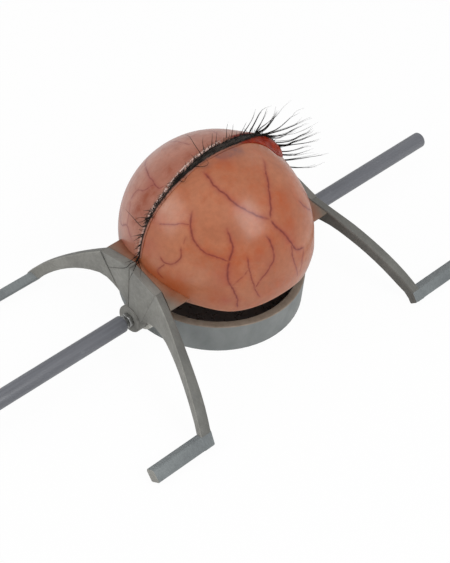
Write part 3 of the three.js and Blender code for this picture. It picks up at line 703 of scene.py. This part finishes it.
# Places along the edge, each a sweep in degrees with a y or a width in millimetres
edge_front = [(-82, 4.4), (-76, 5.4), (-68, 7), (-60, 7.8), (-50, 7.4), (-40, 6.2), (-31, 5), (-25, 4.2),
              (-15, 3.4), (-8, 1.6), (0, 0.4), (8, -0.6), (14, -0.8), (19, -2), (23, -3.6), (27, -5.6),
              (32, -7.6), (38, -9), (46, -9), (54, -7), (62, -1), (70, 4), (78, 7.6), (82, 9)]
band_middle = [(-83, 6.1), (-76, 7.4), (-68, 9), (-61, 9.8), (-54, 10), (-47, 9.4), (-41, 8.8),
               (-34, 8.4), (-30, 8), (-24, 7.6), (-18, 7.4), (-12, 7.1), (-6, 6.3), (0, 5.4), (8, 4.8),
               (15, 5), (24, 6.6), (32, 9), (42, 11), (60, 12), (80, 12)]
band_width = [(-83, 0.8), (-66, 0.9), (-54, 1), (-45, 1.1), (-38, 1.3), (-31, 2.3), (-20, 4.8),
              (-10, 6.4), (0, 7.6), (10, 8), (20, 7.2), (30, 5), (42, 3), (60, 2), (80, 1.2)]
glue_line = [(-58, 12.4), (-52, 12.6), (-47, 12.2), (-42, 12.1), (-34, 12.8), (-26, 13.1), (-19, 13),
             (-13, 12.7), (-8, 12.3), (-3, 12), (3, 12)]


def edge_top(sweep, y):
    """The radius of the edge's outer face, from its front over the lower lid back to the upper skin."""
    front = along_table(edge_front, sweep)
    skin = upper_radius / MM + lip_rise(sweep, y * MM) / MM
    middle = max(92.5, upper_radius / MM + lip_rise(sweep, 11.5 * MM) / MM + 0.2)
    bulge = 1.6 * smooth(sweep, 50, 66) * (1 - smooth(sweep, 74, 82))
    resting = (lower_surface((on_lid(sweep, y * MM, lower_radius) - dome_centre).normalized()) / MM) + 1.1
    rise = smooth(y, max(front, -1.5) - 0.4, 9)
    forward = resting + (middle - resting) * rise + bulge * math.exp(-((y - 6) / 3.5) ** 2)
    back = smooth(y, 12.5, 17.5)
    return forward * (1 - back) + (skin + 0.05) * back


def band_at(sweep):
    """The y of the matted band's middle and the band's width, in millimetres."""
    return along_table(band_middle, sweep), along_table(band_width, sweep)


def ribbon(material, ends, columns, rows, wall, shape_at, painted_at=None):
    """A ribbon with a wall, between two sweeps. shape_at(sweep, share of its width) places its points."""
    strip = start_from(bpy.ops.mesh.primitive_grid_add, x_subdivisions=columns, y_subdivisions=rows, size=1)
    if painted_at:
        paint = strip.data.color_attributes.new(name="paint", type="FLOAT_COLOR", domain="POINT")
    for vertex in strip.data.vertices:
        sweep = (vertex.co.x + 0.5) * (ends[1] - ends[0]) + ends[0]
        share = vertex.co.y + 0.5
        if painted_at:
            paint.data[vertex.index].color = painted_at(sweep, share) + (1,)
        vertex.co = shape_at(sweep, share)
    finish_with(strip, "SOLIDIFY", thickness=wall * MM, offset=-1)
    give_materials(strip, material)
    soft_shade(strip, 55)
    return strip


def edge_y(sweep, share):
    """The y across the edge, from its front to its back on the upper skin."""
    front = along_table(edge_front, sweep)
    return front + (17.6 - front) * share


def edge_shape(sweep, share):
    y = edge_y(sweep, share)
    wave = 0.35 * noise.noise(Vector((sweep * 0.12, y * 0.2, 5)))
    tuck = 0.5 * math.exp(-(share / 0.05) ** 2)
    return on_lid(sweep, y * MM, (edge_top(sweep, y) + wave * (1 - share) - tuck) * MM)


def edge_paint_at(sweep, share):
    y = edge_y(sweep, share)
    middle, width = band_at(sweep)
    red = smooth(sweep, 9, 15) * (1 - smooth(y, 12.5, 15.5))
    # The dark share under the lash band is painted shade
    dark = 0.85 * math.exp(-((y - middle) / (0.6 * width + 0.5)) ** 2) * (1 - 0.85 * smooth(sweep, 34, 44))
    glue = (1 - smooth(abs(y - middle - width * 0.5 - 1.2), 0.4, 1.8)) * (1 - smooth(sweep, -10, 5))
    return red, dark, glue


def wall_shape(sweep, share):
    """The face that closes the edge down to the lid's skin, seen when the lids stand open."""
    wall_y = 13.3
    low = (upper_radius + lip_rise(sweep, upper_skin_y)) / MM - 0.6
    high = edge_top(sweep, wall_y) - 0.3
    return on_lid(sweep, wall_y * MM, (low + (high - low) * share) * MM)


def wall_paint_at(sweep, share):
    return smooth(sweep, 9, 15), 0, 0


def band_shape(sweep, share):
    """Hair roots set in black glue: a ribbon on the edge, thick and lumpy where the lashes are long."""
    off = share * 2 - 1
    middle, width = band_at(sweep)
    fray = noise.noise(Vector((sweep * 0.9, off * 0.8, 9))) * 0.3
    y = middle + width / 2 * off * (1 + fray)
    strands = 0.5 + noise.noise(Vector((sweep * 0.35 + y * 0.5, y * 1.7, 2)))
    hump = (1 - off ** 2) * (0.2 + 0.11 * width) * (0.4 + 1.1 * strands)
    return on_lid(sweep, y * MM, (edge_top(sweep, y) + 0.1 + hump) * MM)


def glue_shape(sweep, share):
    """Beads of pale glue squeezed out behind the hair roots."""
    off = share * 2 - 1
    bead = smooth(noise.noise(Vector((sweep * 0.85, 1, 4))), -0.25, 0.3)
    y = along_table(glue_line, sweep) + 1.7 * off * (0.35 + 0.65 * bead)
    hump = (1 - off ** 2) * bead * (1.2 + 0.9 * noise.noise(Vector((sweep * 2.1, 3, 8))))
    return on_lid(sweep, y * MM, (edge_top(sweep, y) - 0.1 + hump) * MM)


edge_ends = (-82, 82)
keep(ribbon(edge_paint, edge_ends, 164, 18, wall=0.7, shape_at=edge_shape, painted_at=edge_paint_at),
     "lid_edge", "upper_lid", "margin_red", "upper_lid_margin")
keep(ribbon(edge_paint, edge_ends, 164, 2, wall=0.4, shape_at=wall_shape, painted_at=wall_paint_at),
     "lid_edge_wall", "upper_lid", "margin_red")
keep(ribbon(band_black, (-83, 80), 420, 12, wall=0.3, shape_at=band_shape),
     "matted_band", "upper_lid", "lash_black")
keep(ribbon(pale_glue, (-58, 3), 260, 8, wall=0.25, shape_at=glue_shape),
     "glue_beads", "upper_lid", "upper_skin")

# Locks of long lashes, each a number of bristles, a thickness in millimetres and a route. Each point of a
# route is a sweep in degrees, and a y and a radius in millimetres.
locks = [
    (2, 0.24, [(9, 12.5, 92.5), (8.4, 14.2, 101.6), (9, 15.2, 108.2)]),
    (2, 0.24, [(9, 7, 92.5), (9.6, 8.9, 100.4), (9.9, 10.4, 107.8)]),
    (2, 0.26, [(18.5, 10.5, 92.5), (19.9, 11, 100), (20.4, 11, 105.6)]),
    (4, 0.3, [(21.5, 11.5, 92.5), (24.4, 12.3, 100.1), (25.7, 12.7, 108.5), (25.1, 13.2, 117.2)]),
    (4, 0.3, [(30, 14, 92.3), (29.9, 13.5, 102.4), (29.1, 12.4, 112.9), (30.5, 11.9, 118.5),
              (34.5, 11.5, 122.1)]),
    (5, 0.3, [(36, 14, 93), (34.9, 12.7, 102.1), (32.7, 10.8, 111.3), (30.2, 9.1, 119.8)]),
    (9, 0.32, [(37.5, 14, 93.3), (41.1, 13, 99.6), (40.7, 11, 107.1), (38.7, 9.3, 113.9),
               (34, 6.8, 123.9)]),
    (2, 0.27, [(37.5, 14, 93.3), (41.4, 13.1, 99.3), (40.7, 11, 107.1), (40.3, 8.6, 116.4),
               (39.4, 6.3, 125.5), (40.1, 4.2, 134.1)]),
    (5, 0.26, [(37, 14, 93.2), (37.1, 13.1, 98.9), (39.1, 11, 107.2), (39.7, 9.3, 113.5),
               (38, 7.5, 120.8)]),
    (3, 0.27, [(37.5, 9.5, 93.3), (42, 8.1, 98.6), (44.5, 5.3, 105.3), (44.4, 1.9, 113.7),
               (43.3, -1.6, 122.3), (42, -4, 128.4), (44, -6.6, 135)]),
    (2, 0.24, [(37.5, 9.5, 93.3), (44.7, 5.5, 104.8), (43.4, 0, 118.4), (44, -2.2, 123.9),
               (45, -4.2, 128.9)]),
    (9, 0.3, [(36.5, 8.5, 93.1), (42.3, 6.7, 98.7), (46.5, 3.1, 106.5), (48.9, -0.2, 113.8),
              (50.2, -3.9, 122), (51.3, -6.6, 128.2), (52.6, -8.5, 132.4)]),
    (2, 0.26, [(38, 8.5, 93.4), (46.9, 3.3, 106.3), (49.2, -1.7, 117.3), (48.5, -3.8, 122.1),
               (47.1, -5.8, 126.5)]),
    (10, 0.3, [(40, 11, 93.6), (44.6, 3.2, 98.2), (48.6, -0.8, 105.9), (49.1, -4, 112.4),
               (49.7, -7.5, 119.5), (50.7, -10.8, 126.4)]),
    (5, 0.3, [(42, 11, 94), (47.4, 3.2, 98.4), (48.8, 0.3, 103.8), (50, -3.7, 111.8)]),
    (2, 0.26, [(43, 11, 94.2), (50.3, -1.8, 107.1), (53, -5.9, 115.4), (53.6, -10, 123.9),
               (53.7, -14.9, 134.1)]),
    (10, 0.3, [(57, 11.8, 95.2), (60.4, 6.6, 102.9), (60.7, 2.6, 108.1), (59.3, -2.4, 114.7),
               (58.5, -7.6, 121.9), (56.1, -10.9, 126.6)]),
    (9, 0.3, [(60, 12, 95.3), (63.9, 6.7, 103), (62.8, 2.8, 108), (62.7, -2.1, 114.6),
              (61.8, -7.3, 121.7), (60.9, -13.6, 130.7)]),
    (6, 0.26, [(63, 12, 95.1), (64.2, 6.7, 102.8), (66, -4.3, 117.3), (65.8, -12.4, 128.8)]),
    (7, 0.27, [(67, 12, 94.4), (68.5, 10.1, 97.9), (69.6, 6.2, 102.8), (69.5, 0.9, 109.6),
               (68.7, -3.3, 115.2), (69.1, -6.8, 120.1)]),
    (8, 0.3, [(70, 12, 93.6), (70.8, 9.7, 97.6), (72.3, 6.2, 102), (73.8, 1.9, 107.6)]),
    (6, 0.22, [(70, 12, 93.6), (72.3, 6.2, 102), (73.8, 1.9, 107.6), (73.8, -2.9, 114),
               (73.8, -8.2, 121.3)]),
    (6, 0.22, [(69, 12, 93.9), (70.7, 9.8, 97.7), (72.6, 5.6, 103), (72.6, 0.3, 109.9),
               (71.2, -8, 121.2)]),
    (7, 0.29, [(74, 12, 92.6), (75.8, 8, 98.6), (76.3, 2.1, 106.3), (76.4, -6, 117.2),
               (76.2, -11.2, 124.6), (75.8, -16.8, 132.5)]),
    (7, 0.29, [(79, 12, 92.5), (82, 5, 102.4), (82.9, 0.1, 108.8), (83.3, -5.2, 116), (82.6, -9.7, 122.2),
               (81, -14.4, 129.1)]),
]
# Single bristles that stray from the band, each by its route.
strays = [
    [(-53.2, 11.5, 93), (-55.7, 18.1, 91.6), (-57.2, 21.7, 91.9)],
    [(-55.8, 10.5, 93), (-57.3, 16.3, 92.2), (-59.3, 18.3, 91.8)],
    [(-56.8, 9.3, 93), (-60.9, 14.5, 92.8), (-63.7, 18.9, 91.6), (-66.4, 25.3, 91.8)],
    [(-62.4, 9.6, 93), (-64.6, 14.2, 92.8), (-65.2, 21.2, 91.9), (-65.1, 26.8, 91.8),
     (-65.7, 44.3, 92.8)],
    [(-57.6, 10.2, 93), (-61.4, 20.7, 91.8), (-63.1, 23.7, 92), (-64.9, 25.9, 92)],
    [(-67.3, 8.5, 93), (-69.5, 13.1, 92.8), (-72.6, 18.4, 91.9), (-75.2, 23.4, 92.4)],
    [(-68.2, 8.6, 93), (-73.5, 15.2, 92.6), (-76.3, 18.4, 91.9)],
    [(-73.5, 7.9, 93), (-78.7, 12.6, 92.8), (-80.7, 15.1, 92.4)],
    [(-78.6, 7, 93), (-82, 9.1, 93), (-84, 10.7, 94), (-84, 9.7, 100.4), (-84.4, 11.5, 104.5)],
    [(-80.3, 6.2, 93), (-84.6, 8.3, 93.6), (-83.3, 6, 97.4), (-83.7, 6.5, 102.2), (-85.4, 7.3, 106.3),
     (-89.5, 16.6, 107), (-94.9, 30.4, 109.2)],
    [(-80.8, 5.9, 93), (-84.2, 7.2, 94), (-84.8, 2.6, 99.5), (-87.8, 0.3, 105.8), (-92.3, 2.7, 105.8)],
    [(-80.3, 6.2, 93), (-83.9, 6.3, 93), (-85.2, 0.4, 95.6), (-85.4, -2.6, 97.2), (-86.4, -8.1, 103.3)],
    [(-80.8, 5.9, 93), (-83.5, 7, 93), (-85.4, -0.2, 104.2)],
    [(-12, 10.5, 93), (-8.4, 24.9, 93), (-3.9, 38.8, 93.7), (1.4, 51.3, 91.6)],
    [(-9.6, 10.5, 93), (-4.6, 21, 92.6), (0.2, 28.4, 93.8)],
    [(-16.4, 10, 93), (-15, 19.6, 92.5)],
    [(-20, 5.6, 93), (-17.8, 0.2, 92.8), (-15.1, -2.3, 93), (-13.5, -0.6, 93.6), (-13, 4.3, 94)],
    [(-17.9, 5.5, 93), (-13.5, 2.4, 94)],
    [(-30.5, 10, 93), (-31.2, 6, 93), (-30.9, 2.3, 93), (-28.6, 2.4, 93.3), (-26.4, 4.3, 93)],
    [(-29.3, 8.2, 93), (-28.7, 3.7, 93.2)],
    [(-37, 9.6, 93), (-39.3, 5.4, 92.8)],
    [(-4.8, 9.8, 93), (5.1, 24.6, 95)],
    [(-2.2, 9, 93), (8.2, 24, 95)],
]


def ball_points(route):
    return [on_lid(sweep, y * MM, radius * MM) for sweep, y, radius in route]


def bristle(splines, points, thickness, reach=1.0):
    """One bristle along a line of points, thick at its root and fine at its tip."""
    line = smooth_through(points, 2 * MM)
    line = line[:max(3, round(len(line) * reach))]
    spline = splines.new("POLY")
    spline.points.add(len(line) - 1)
    for i, at in enumerate(line):
        t = i / (len(line) - 1)
        spline.points[i].co = (at.x, at.y, at.z, 1)
        spline.points[i].radius = thickness * MM * (1 - 0.8 * t ** 1.6)


def lash_row():
    """All the lashes: long locks at the right, and short crossing bristles along the whole band."""
    rng = random.Random(11)
    draw = rng.uniform
    curve = bpy.data.curves.new("lashes", "CURVE")
    curve.dimensions = "3D"
    curve.bevel_depth = 1.0
    curve.bevel_resolution = 0
    curve.use_fill_caps = True

    for count, thickness, route in locks:
        points = ball_points(route)
        steps = len(points) - 1
        for i in range(count):
            near = Vector((rng.gauss(0, 1), rng.gauss(0, 1), rng.gauss(0, 1))) * (0.15 + 0.05 * count) * MM
            far = Vector((rng.gauss(0, 1), rng.gauss(0, 1), rng.gauss(0, 0.6))) * (0.35 + 0.13 * count) * MM
            if i == 0:
                near, far = near * 0, far * 0
            bent = [at + near * (1 - k / steps) + far * (k / steps) ** 2 for k, at in enumerate(points)]
            thick = thickness * draw(0.8, 1.1)
            bristle(curve.splines, bent, thick, 1 if i == 0 else draw(0.55, 1))
    for route in strays:
        bristle(curve.splines, ball_points(route), thickness=0.34)

    def lying(sweep, y, along, over, length, lift, thickness):
        """A bristle that lies on the lid, with its way along the band and over it in shares, and its length,
        the lift of its tip and its thickness in millimetres."""
        lid_radius = 92
        size = math.hypot(along, over)
        travel = math.degrees(along / size * length / lid_radius)
        bow = draw(-0.25, 0.25) * length
        route = []
        for share in (0, 0.5, 1):
            s = sweep + travel * share + math.degrees(bow * share * (1 - share) * over / size / lid_radius)
            v = y + over / size * length * share - bow * share * (1 - share) * along / size
            route.append((s, v, edge_top(s, v) + 0.2 + lift * share))
        bristle(curve.splines, ball_points(route), thickness)

    def spaced(i, count, start, reach):
        """A sweep drawn within the share of a stretch that is the bristle's own."""
        return start + reach * (i + draw(0, 1)) / count

    # Hairs that cross each way behind the band's left part
    for _ in range(120):
        sweep = draw(-62, -26)
        y = band_at(sweep)[0] + draw(-0.8, 3.4)
        lying(sweep, y, rng.choice((-1, 1)), rng.gauss(0.3, 0.6), draw(3, 6.5), draw(0, 0.9), 0.21)
    # Short lashes at the left, combed back over the skin, and the ones that hang forward
    for i in range(44):
        sweep = spaced(i, 44, -82, 56)
        y = band_at(sweep)[0] + 0.4
        lying(sweep, y, -draw(0.2, 1.1), draw(0.5, 1.1), draw(3, 8), draw(1, 3.5), 0.23)
    for i in range(24):
        sweep = spaced(i, 24, -60, 34)
        lying(sweep, band_at(sweep)[0], draw(-1, 1), -1, draw(2, 5), draw(0.5, 2), 0.2)
    # Matted hairs that lie along the band where it is wide, and the ones that rise behind it
    for _ in range(380):
        sweep = draw(-36, 42)
        middle, width = band_at(sweep)
        y = middle + width * draw(-0.52, 0.52)
        lift = 0.5 * (1 - abs(y - middle) / width)
        lying(sweep, y, 1, rng.gauss(0.15, 0.28), draw(4, 9), lift + draw(0, 1.4), 0.28)
    for i in range(34):
        sweep = spaced(i, 34, -24, 58)
        middle, width = band_at(sweep)
        y = middle + width * 0.42
        lying(sweep, y, draw(0.1, 0.9), draw(0.5, 1), draw(2.5, 7), draw(2, 6), 0.24)
    # Short hairs round the roots of the long locks, and between them
    for _ in range(28):
        sweep = draw(24, 42)
        y = band_at(sweep)[0] + draw(-1.5, 0.5)
        lying(sweep, y, draw(0.2, 1), rng.gauss(-0.2, 0.5), draw(3, 6), draw(1, 4), 0.28)
    for i in range(60):
        sweep = spaced(i, 60, 40, 39)
        y = band_at(sweep)[0] + draw(-0.6, 0.8)
        lying(sweep, y, rng.gauss(0, 0.5), rng.gauss(0, 0.6), draw(2, 4), draw(1, 3.5), 0.28)
    row = add_to_scene("lashes", curve)
    only(row)
    bpy.ops.object.convert(target="MESH")
    row = bpy.context.object
    give_materials(row, lash_black)
    bpy.ops.object.shade_smooth()
    return row


keep(lash_row(), "lashes", "upper_lid", "lash_black",
     "lashes_left", "lashes_middle_left", "lashes_middle_right", "lashes_right")


# Castings: copies of the solids with their faces merged and their edges eased by hand

# The solids' levers, in millimetres. A lower lever's inner face leaves its plate at lever_out from the middle
# of the model and lever_front in front of the hinge line. Past foot_end lies only the end of the foot.
lever_out = 95.7
lever_front = 29.3
half_lever = 4.15
heel_front = 130
foot_end = 190
foot_top = 16
# How near a corner lies to a place in the tables below that means it
at_heel = 0.3
at_edge = 2.5

# How they were filed and filled by hand. A face's table gives how far it was built out at each distance in
# front of the hinge line. The heel is its distance from the middle and where its slope starts, and each long
# edge of the foot has its place in the side plane and its move.
lever_fits = {
    "left_lower_lever": {
        "flare": 0.353,
        "outer": [(55, 0), (138, 5)],
        "inner": [(118, 0), (140, 1.5)],
        "heel": (133.8, 137.1),
        "far_end": 2.5,
        "edges": [((132.7, 8.4), (-1, 1)), ((145.6, 6), (1.2, 0))],
    },
    "right_lower_lever": {
        "flare": 0.3,
        "outer": [(45, 0), (70, 1.2)],
        "inner": [(45, 0), (70, -1), (120, -1), (138, 0)],
        "heel": None,
        "far_end": 0,
        "edges": [((134, 8.4), (-2, 1.6)), ((146.9, 6), (-0.4, 0))],
    },
}


def fit_lever(piece, fit):
    """Moves a lever's corners by its table, outwards along X, and then the foot's long edges."""
    heel = fit["heel"]
    for vertex in piece.data.vertices:
        side = math.copysign(1, vertex.co.x)
        out, front, height = abs(vertex.co.x) / MM, -vertex.co.y / MM, vertex.co.z / MM
        inner_face = lever_out + fit["flare"] * (front - lever_front)
        if out > foot_end:
            move = fit["far_end"]
        elif heel and abs(out - heel[0]) < at_heel and front > heel_front:
            move = along_table(fit["inner"], front) + fit["flare"] * max(0, front - heel[1])
        else:
            move = along_table(fit["outer" if out > inner_face + half_lever else "inner"], front)
        vertex.co.x += side * move * MM
        for (at_front, at_height), (forward, up) in fit["edges"]:
            if math.hypot(front - at_front, height - at_height) < at_edge:
                vertex.co.y -= forward * MM
                vertex.co.z += up * MM


# The order of a casting's finishes
facing_out, eased, sawn_side, facing_in, on_foot = range(5)


def casting(node, body, slot, face_finish, ease, edge=None, sawn=None, inner=None):
    """A worn copy of a solid. Its eased edges, sawn sides and inner faces may have finishes of their own."""
    piece = add_to_scene(node + "_worn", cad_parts[node].data.copy())
    finishes = [finish or face_finish for finish in (face_finish, edge, sawn, inner)]
    give_materials(piece, *finishes, grey_foot)
    open_mesh(piece)
    bpy.ops.mesh.remove_doubles(threshold=0.002 * MM)
    bpy.ops.mesh.tris_convert_to_quads(face_threshold=0.02, shape_threshold=0.7)
    close_mesh()
    if node in lever_fits:
        fit_lever(piece, lever_fits[node])
    for face in piece.data.polygons:
        if abs(face.normal.x) > 0.5:
            face.material_index = facing_in if face.normal.x * face.center.x < 0 else facing_out
        elif inner and face.center.z < foot_top * MM:
            face.material_index = on_foot
        else:
            face.material_index = sawn_side
    ease_edges(piece, ease, segments=2, degrees=30, material=eased,
               miter_outer="MITER_ARC", use_clamp_overlap=True)
    soft_shade(piece, 35)
    keep(piece, node + "_worn", body, slot, node)


for hand in ("left", "right"):
    for lid in ("lower", "upper"):
        body = lid + "_lid"
        # The darker greys on inner faces, sawn sides and eased edges are painted shade
        casting(f"{hand}_{lid}_lever", body, "grey_plastic", grey_arm, ease=0.35,
                edge=edge_grey_shaded, sawn=sawn_grey_shaded, inner=inner_grey_shaded)
        casting(f"{hand}_{lid}_plate", body, "grey_plastic", grey_arm, ease=0.5,
                edge=edge_grey_shaded, sawn=edge_grey_shaded)
        casting(f"{hand}_{lid}_flange", body, "grey_plastic", flange_paint_and_shade, ease=0.3)
    casting(f"{hand}_lower_hub", "lower_lid", "grey_plastic", grey_arm, ease=0.3, edge=edge_grey_shaded)
    casting(f"{hand}_upper_lug", "upper_lid", "grey_plastic", grey_arm, ease=0.4, edge=edge_grey_shaded)
    casting(f"{hand}_support_rod", "base", "rod_plastic", grey_pipe, ease=0.3)
    casting(f"{hand}_nylon_washer", "base", "white_nylon", nylon, ease=0.5)
    casting(f"{hand}_inner_washer", "base", "zinc_steel", zinc, ease=0.25)
casting("base_ring", "base", "ring_plastic", ring_grey, ease=0.3)
# The dark lining: painted shade inside the ring
casting("black_lining", "base", "black_lining", lining_painted_shade, ease=0.25)


def joint_filler(side, hand, lid, top, low):
    """Grey filler rubbed into the glued joint between a plate and its lever, from its top to its low end."""
    away = -1 if lid == "lower" else 1
    middle = (Vector(top) + Vector(low)) / 2
    run = Vector(top) - Vector(low)
    strip = start_from(bpy.ops.mesh.primitive_cube_add, size=1,
                       location=(side * (lever_out + half_lever) * MM, away * middle.x * MM, middle.y * MM),
                       rotation=(-away * math.atan2(run.x, run.y), 0, 0),
                       scale=(8.16 * MM, 1.1 * MM, (run.length - 0.8) * MM))
    open_mesh(strip)
    bpy.ops.mesh.subdivide(number_cuts=6)
    close_mesh()
    for vertex in strip.data.vertices:
        vertex.co += noise.noise_vector(vertex.co * 300) * 0.06 * MM
    ease_edges(strip, width=0.12, segments=2, degrees=40)
    give_materials(strip, grey_arm)
    soft_shade(strip, 40)
    keep(strip, f"{hand}_{lid}_joint_filler", lid + "_lid", "grey_plastic")


joint_filler(-1, "left", "lower", top=(29.15, 72), low=(15.5, 28.9))
joint_filler(1, "right", "lower", top=(29.15, 72), low=(20.8, 45.7))
for side, hand in both_ends:
    joint_filler(side, hand, "upper", top=(42.2, 74.7), low=(15.8, 44.8))


# Fasteners, in millimetres, with their starts and ends measured out from the middle of the model

across_flats = 13
corner_radius = 7.45
mouth_radius = 4.3
core_radius = 3.45
thread_pitch = 1.25
thread_inset = 0.7
# One turn of the thread, as places along it and radii
thread_profile = [(0.0, 3.38), (0.12, 3.4), (0.52, 3.96), (0.73, 3.96), (1.13, 3.4), (1.25, 3.38)]


def bar(vertices, radius, length, middle):
    """A bar that lies along the hinge line, with its sizes in metres."""
    return start_from(bpy.ops.mesh.primitive_cylinder_add, vertices=vertices, radius=radius, depth=length,
                      location=(middle, 0, pivot_height), rotation=(0, math.pi / 2, 0))


def hex_nut(side, node, start, thickness):
    """A nut whose corners are turned down at both ends, with a bored mouth."""
    middle = side * (start + thickness / 2) * MM
    nut = bar(64, corner_radius * MM, thickness * MM, middle)
    ease_edges(nut, width=1.0, segments=1, degrees=60)
    flats = bar(6, across_flats / 2 * MM / math.cos(math.pi / 6), thickness * 3 * MM, middle)
    bore = bar(32, mouth_radius * MM, thickness * 3 * MM, middle)
    for cutter, operation in ((flats, "INTERSECT"), (bore, "DIFFERENCE")):
        finish_with(nut, "BOOLEAN", operation=operation, object=cutter, solver="EXACT")
        bpy.data.objects.remove(cutter)
    ease_edges(nut, width=0.18, segments=2, degrees=40)
    give_materials(nut, zinc)
    soft_shade(nut, 30)
    keep(nut, node + "_turned", "base", "zinc_steel", node)


def threaded_stud(side, node, start, end):
    """A stud with a core, chamfered ends and a thread wound round it."""
    core = bar(32, core_radius * MM, (end - start) * MM, side * (start + end) / 2 * MM)
    ease_edges(core, width=0.5, segments=1, degrees=60)
    first = (start + thread_inset) * side
    outline = bpy.data.meshes.new("thread")
    outline.from_pydata([((first + side * along) * MM, 0, radius * MM) for along, radius in thread_profile],
                        [(i, i + 1) for i in range(len(thread_profile) - 1)], [])
    thread = add_to_scene("thread", outline)
    finish_with(thread, "SCREW", axis="X", angle=2 * math.pi, screw_offset=side * thread_pitch * MM,
                iterations=int((end - start - 2 * thread_inset) / thread_pitch), steps=24, render_steps=24,
                use_merge_vertices=True, merge_threshold=0.01 * MM)
    open_mesh(thread)
    bpy.ops.mesh.remove_doubles(threshold=0.01 * MM)
    bpy.ops.mesh.normals_make_consistent(inside=False)
    close_mesh()
    for vertex in thread.data.vertices:
        vertex.co.z += pivot_height
    only(core)
    thread.select_set(True)
    bpy.ops.object.join()
    give_materials(core, zinc)
    soft_shade(core, 35)
    keep(core, node + "_threaded", "base", "zinc_steel", node)


for side, hand in both_ends:
    hex_nut(side, hand + "_outer_nut", start=105.3, thickness=4)
    hex_nut(side, hand + "_inner_nut", start=69.99, thickness=6.4)
    threaded_stud(side, hand + "_pivot_stud", start=65.4, end=125.5)


# Floor and light

def white_to_the_eye(tree, output, plain, white, seen_share, glossy_share):
    """Joins a plain look with white where the camera sees it, and with a little white in reflections."""
    path = tree.nodes.new("ShaderNodeLightPath")
    joined = tree.nodes.new("ShaderNodeMixShader")
    seen = reckon(tree, "MAXIMUM", path.outputs["Is Camera Ray"], path.outputs["Is Transmission Ray"])
    seen = reckon(tree, "MULTIPLY", seen, seen_share)
    glossy = reckon(tree, "MULTIPLY", path.outputs["Is Glossy Ray"], glossy_share)
    tree.links.new(reckon(tree, "MAXIMUM", seen, glossy), joined.inputs[0])
    tree.links.new(plain.outputs[0], joined.inputs[1])
    tree.links.new(white.outputs[0], joined.inputs[2])
    tree.links.new(joined.outputs[0], tree.nodes.new(output).inputs["Surface"])


pure_white = (1, 1, 1, 1)

pale_floor = bpy.data.materials.new("pale_floor")
floor_tree = emptied(pale_floor)
lit = node_with(floor_tree, "ShaderNodeBsdfDiffuse", {"Color": (0.84, 0.84, 0.84, 1)})
glow = node_with(floor_tree, "ShaderNodeEmission", {"Color": pure_white})
white_to_the_eye(floor_tree, "ShaderNodeOutputMaterial", lit, glow, seen_share=0.96, glossy_share=0.3)

floor = start_from(bpy.ops.mesh.primitive_plane_add, size=8, location=(0, 0, -0.3 * MM))
floor.name = "floor"
give_materials(floor, pale_floor)

world = bpy.data.worlds.new("studio")
bpy.context.scene.world = world
sky = emptied(world)
soft = node_with(sky, "ShaderNodeBackground", {"Color": pure_white, "Strength": 0.6})
white = node_with(sky, "ShaderNodeBackground", {"Color": pure_white, "Strength": 1})
white_to_the_eye(sky, "ShaderNodeOutputWorld", soft, white, seen_share=1, glossy_share=0.15)


def lamp(name, direction, distance, width, height, power):
    """A soft box that faces the dome from a direction."""
    aim = Vector((0, 0, 0.08))
    away = Vector(direction).normalized()
    bpy.ops.object.light_add(type="AREA", location=aim + away * distance)
    light = bpy.context.object
    light.name = name
    light.data.shape = "RECTANGLE"
    light.data.size = width
    light.data.size_y = height
    light.data.energy = power
    light.rotation_euler = away.to_track_quat("Z", "Y").to_euler()


lamp("front_softbox", (0.05, -0.72, 0.69), distance=1.5, width=0.66, height=1.0, power=8.8)
lamp("left_softbox", (-0.79, 0.38, 0.48), distance=1.7, width=1.0, height=1.0, power=7.5)
lamp("overhead_softbox", (-0.25, -0.1, 1), distance=1.8, width=1.6, height=1.6, power=1.5)

bpy.context.scene.view_settings.view_transform = "Standard"
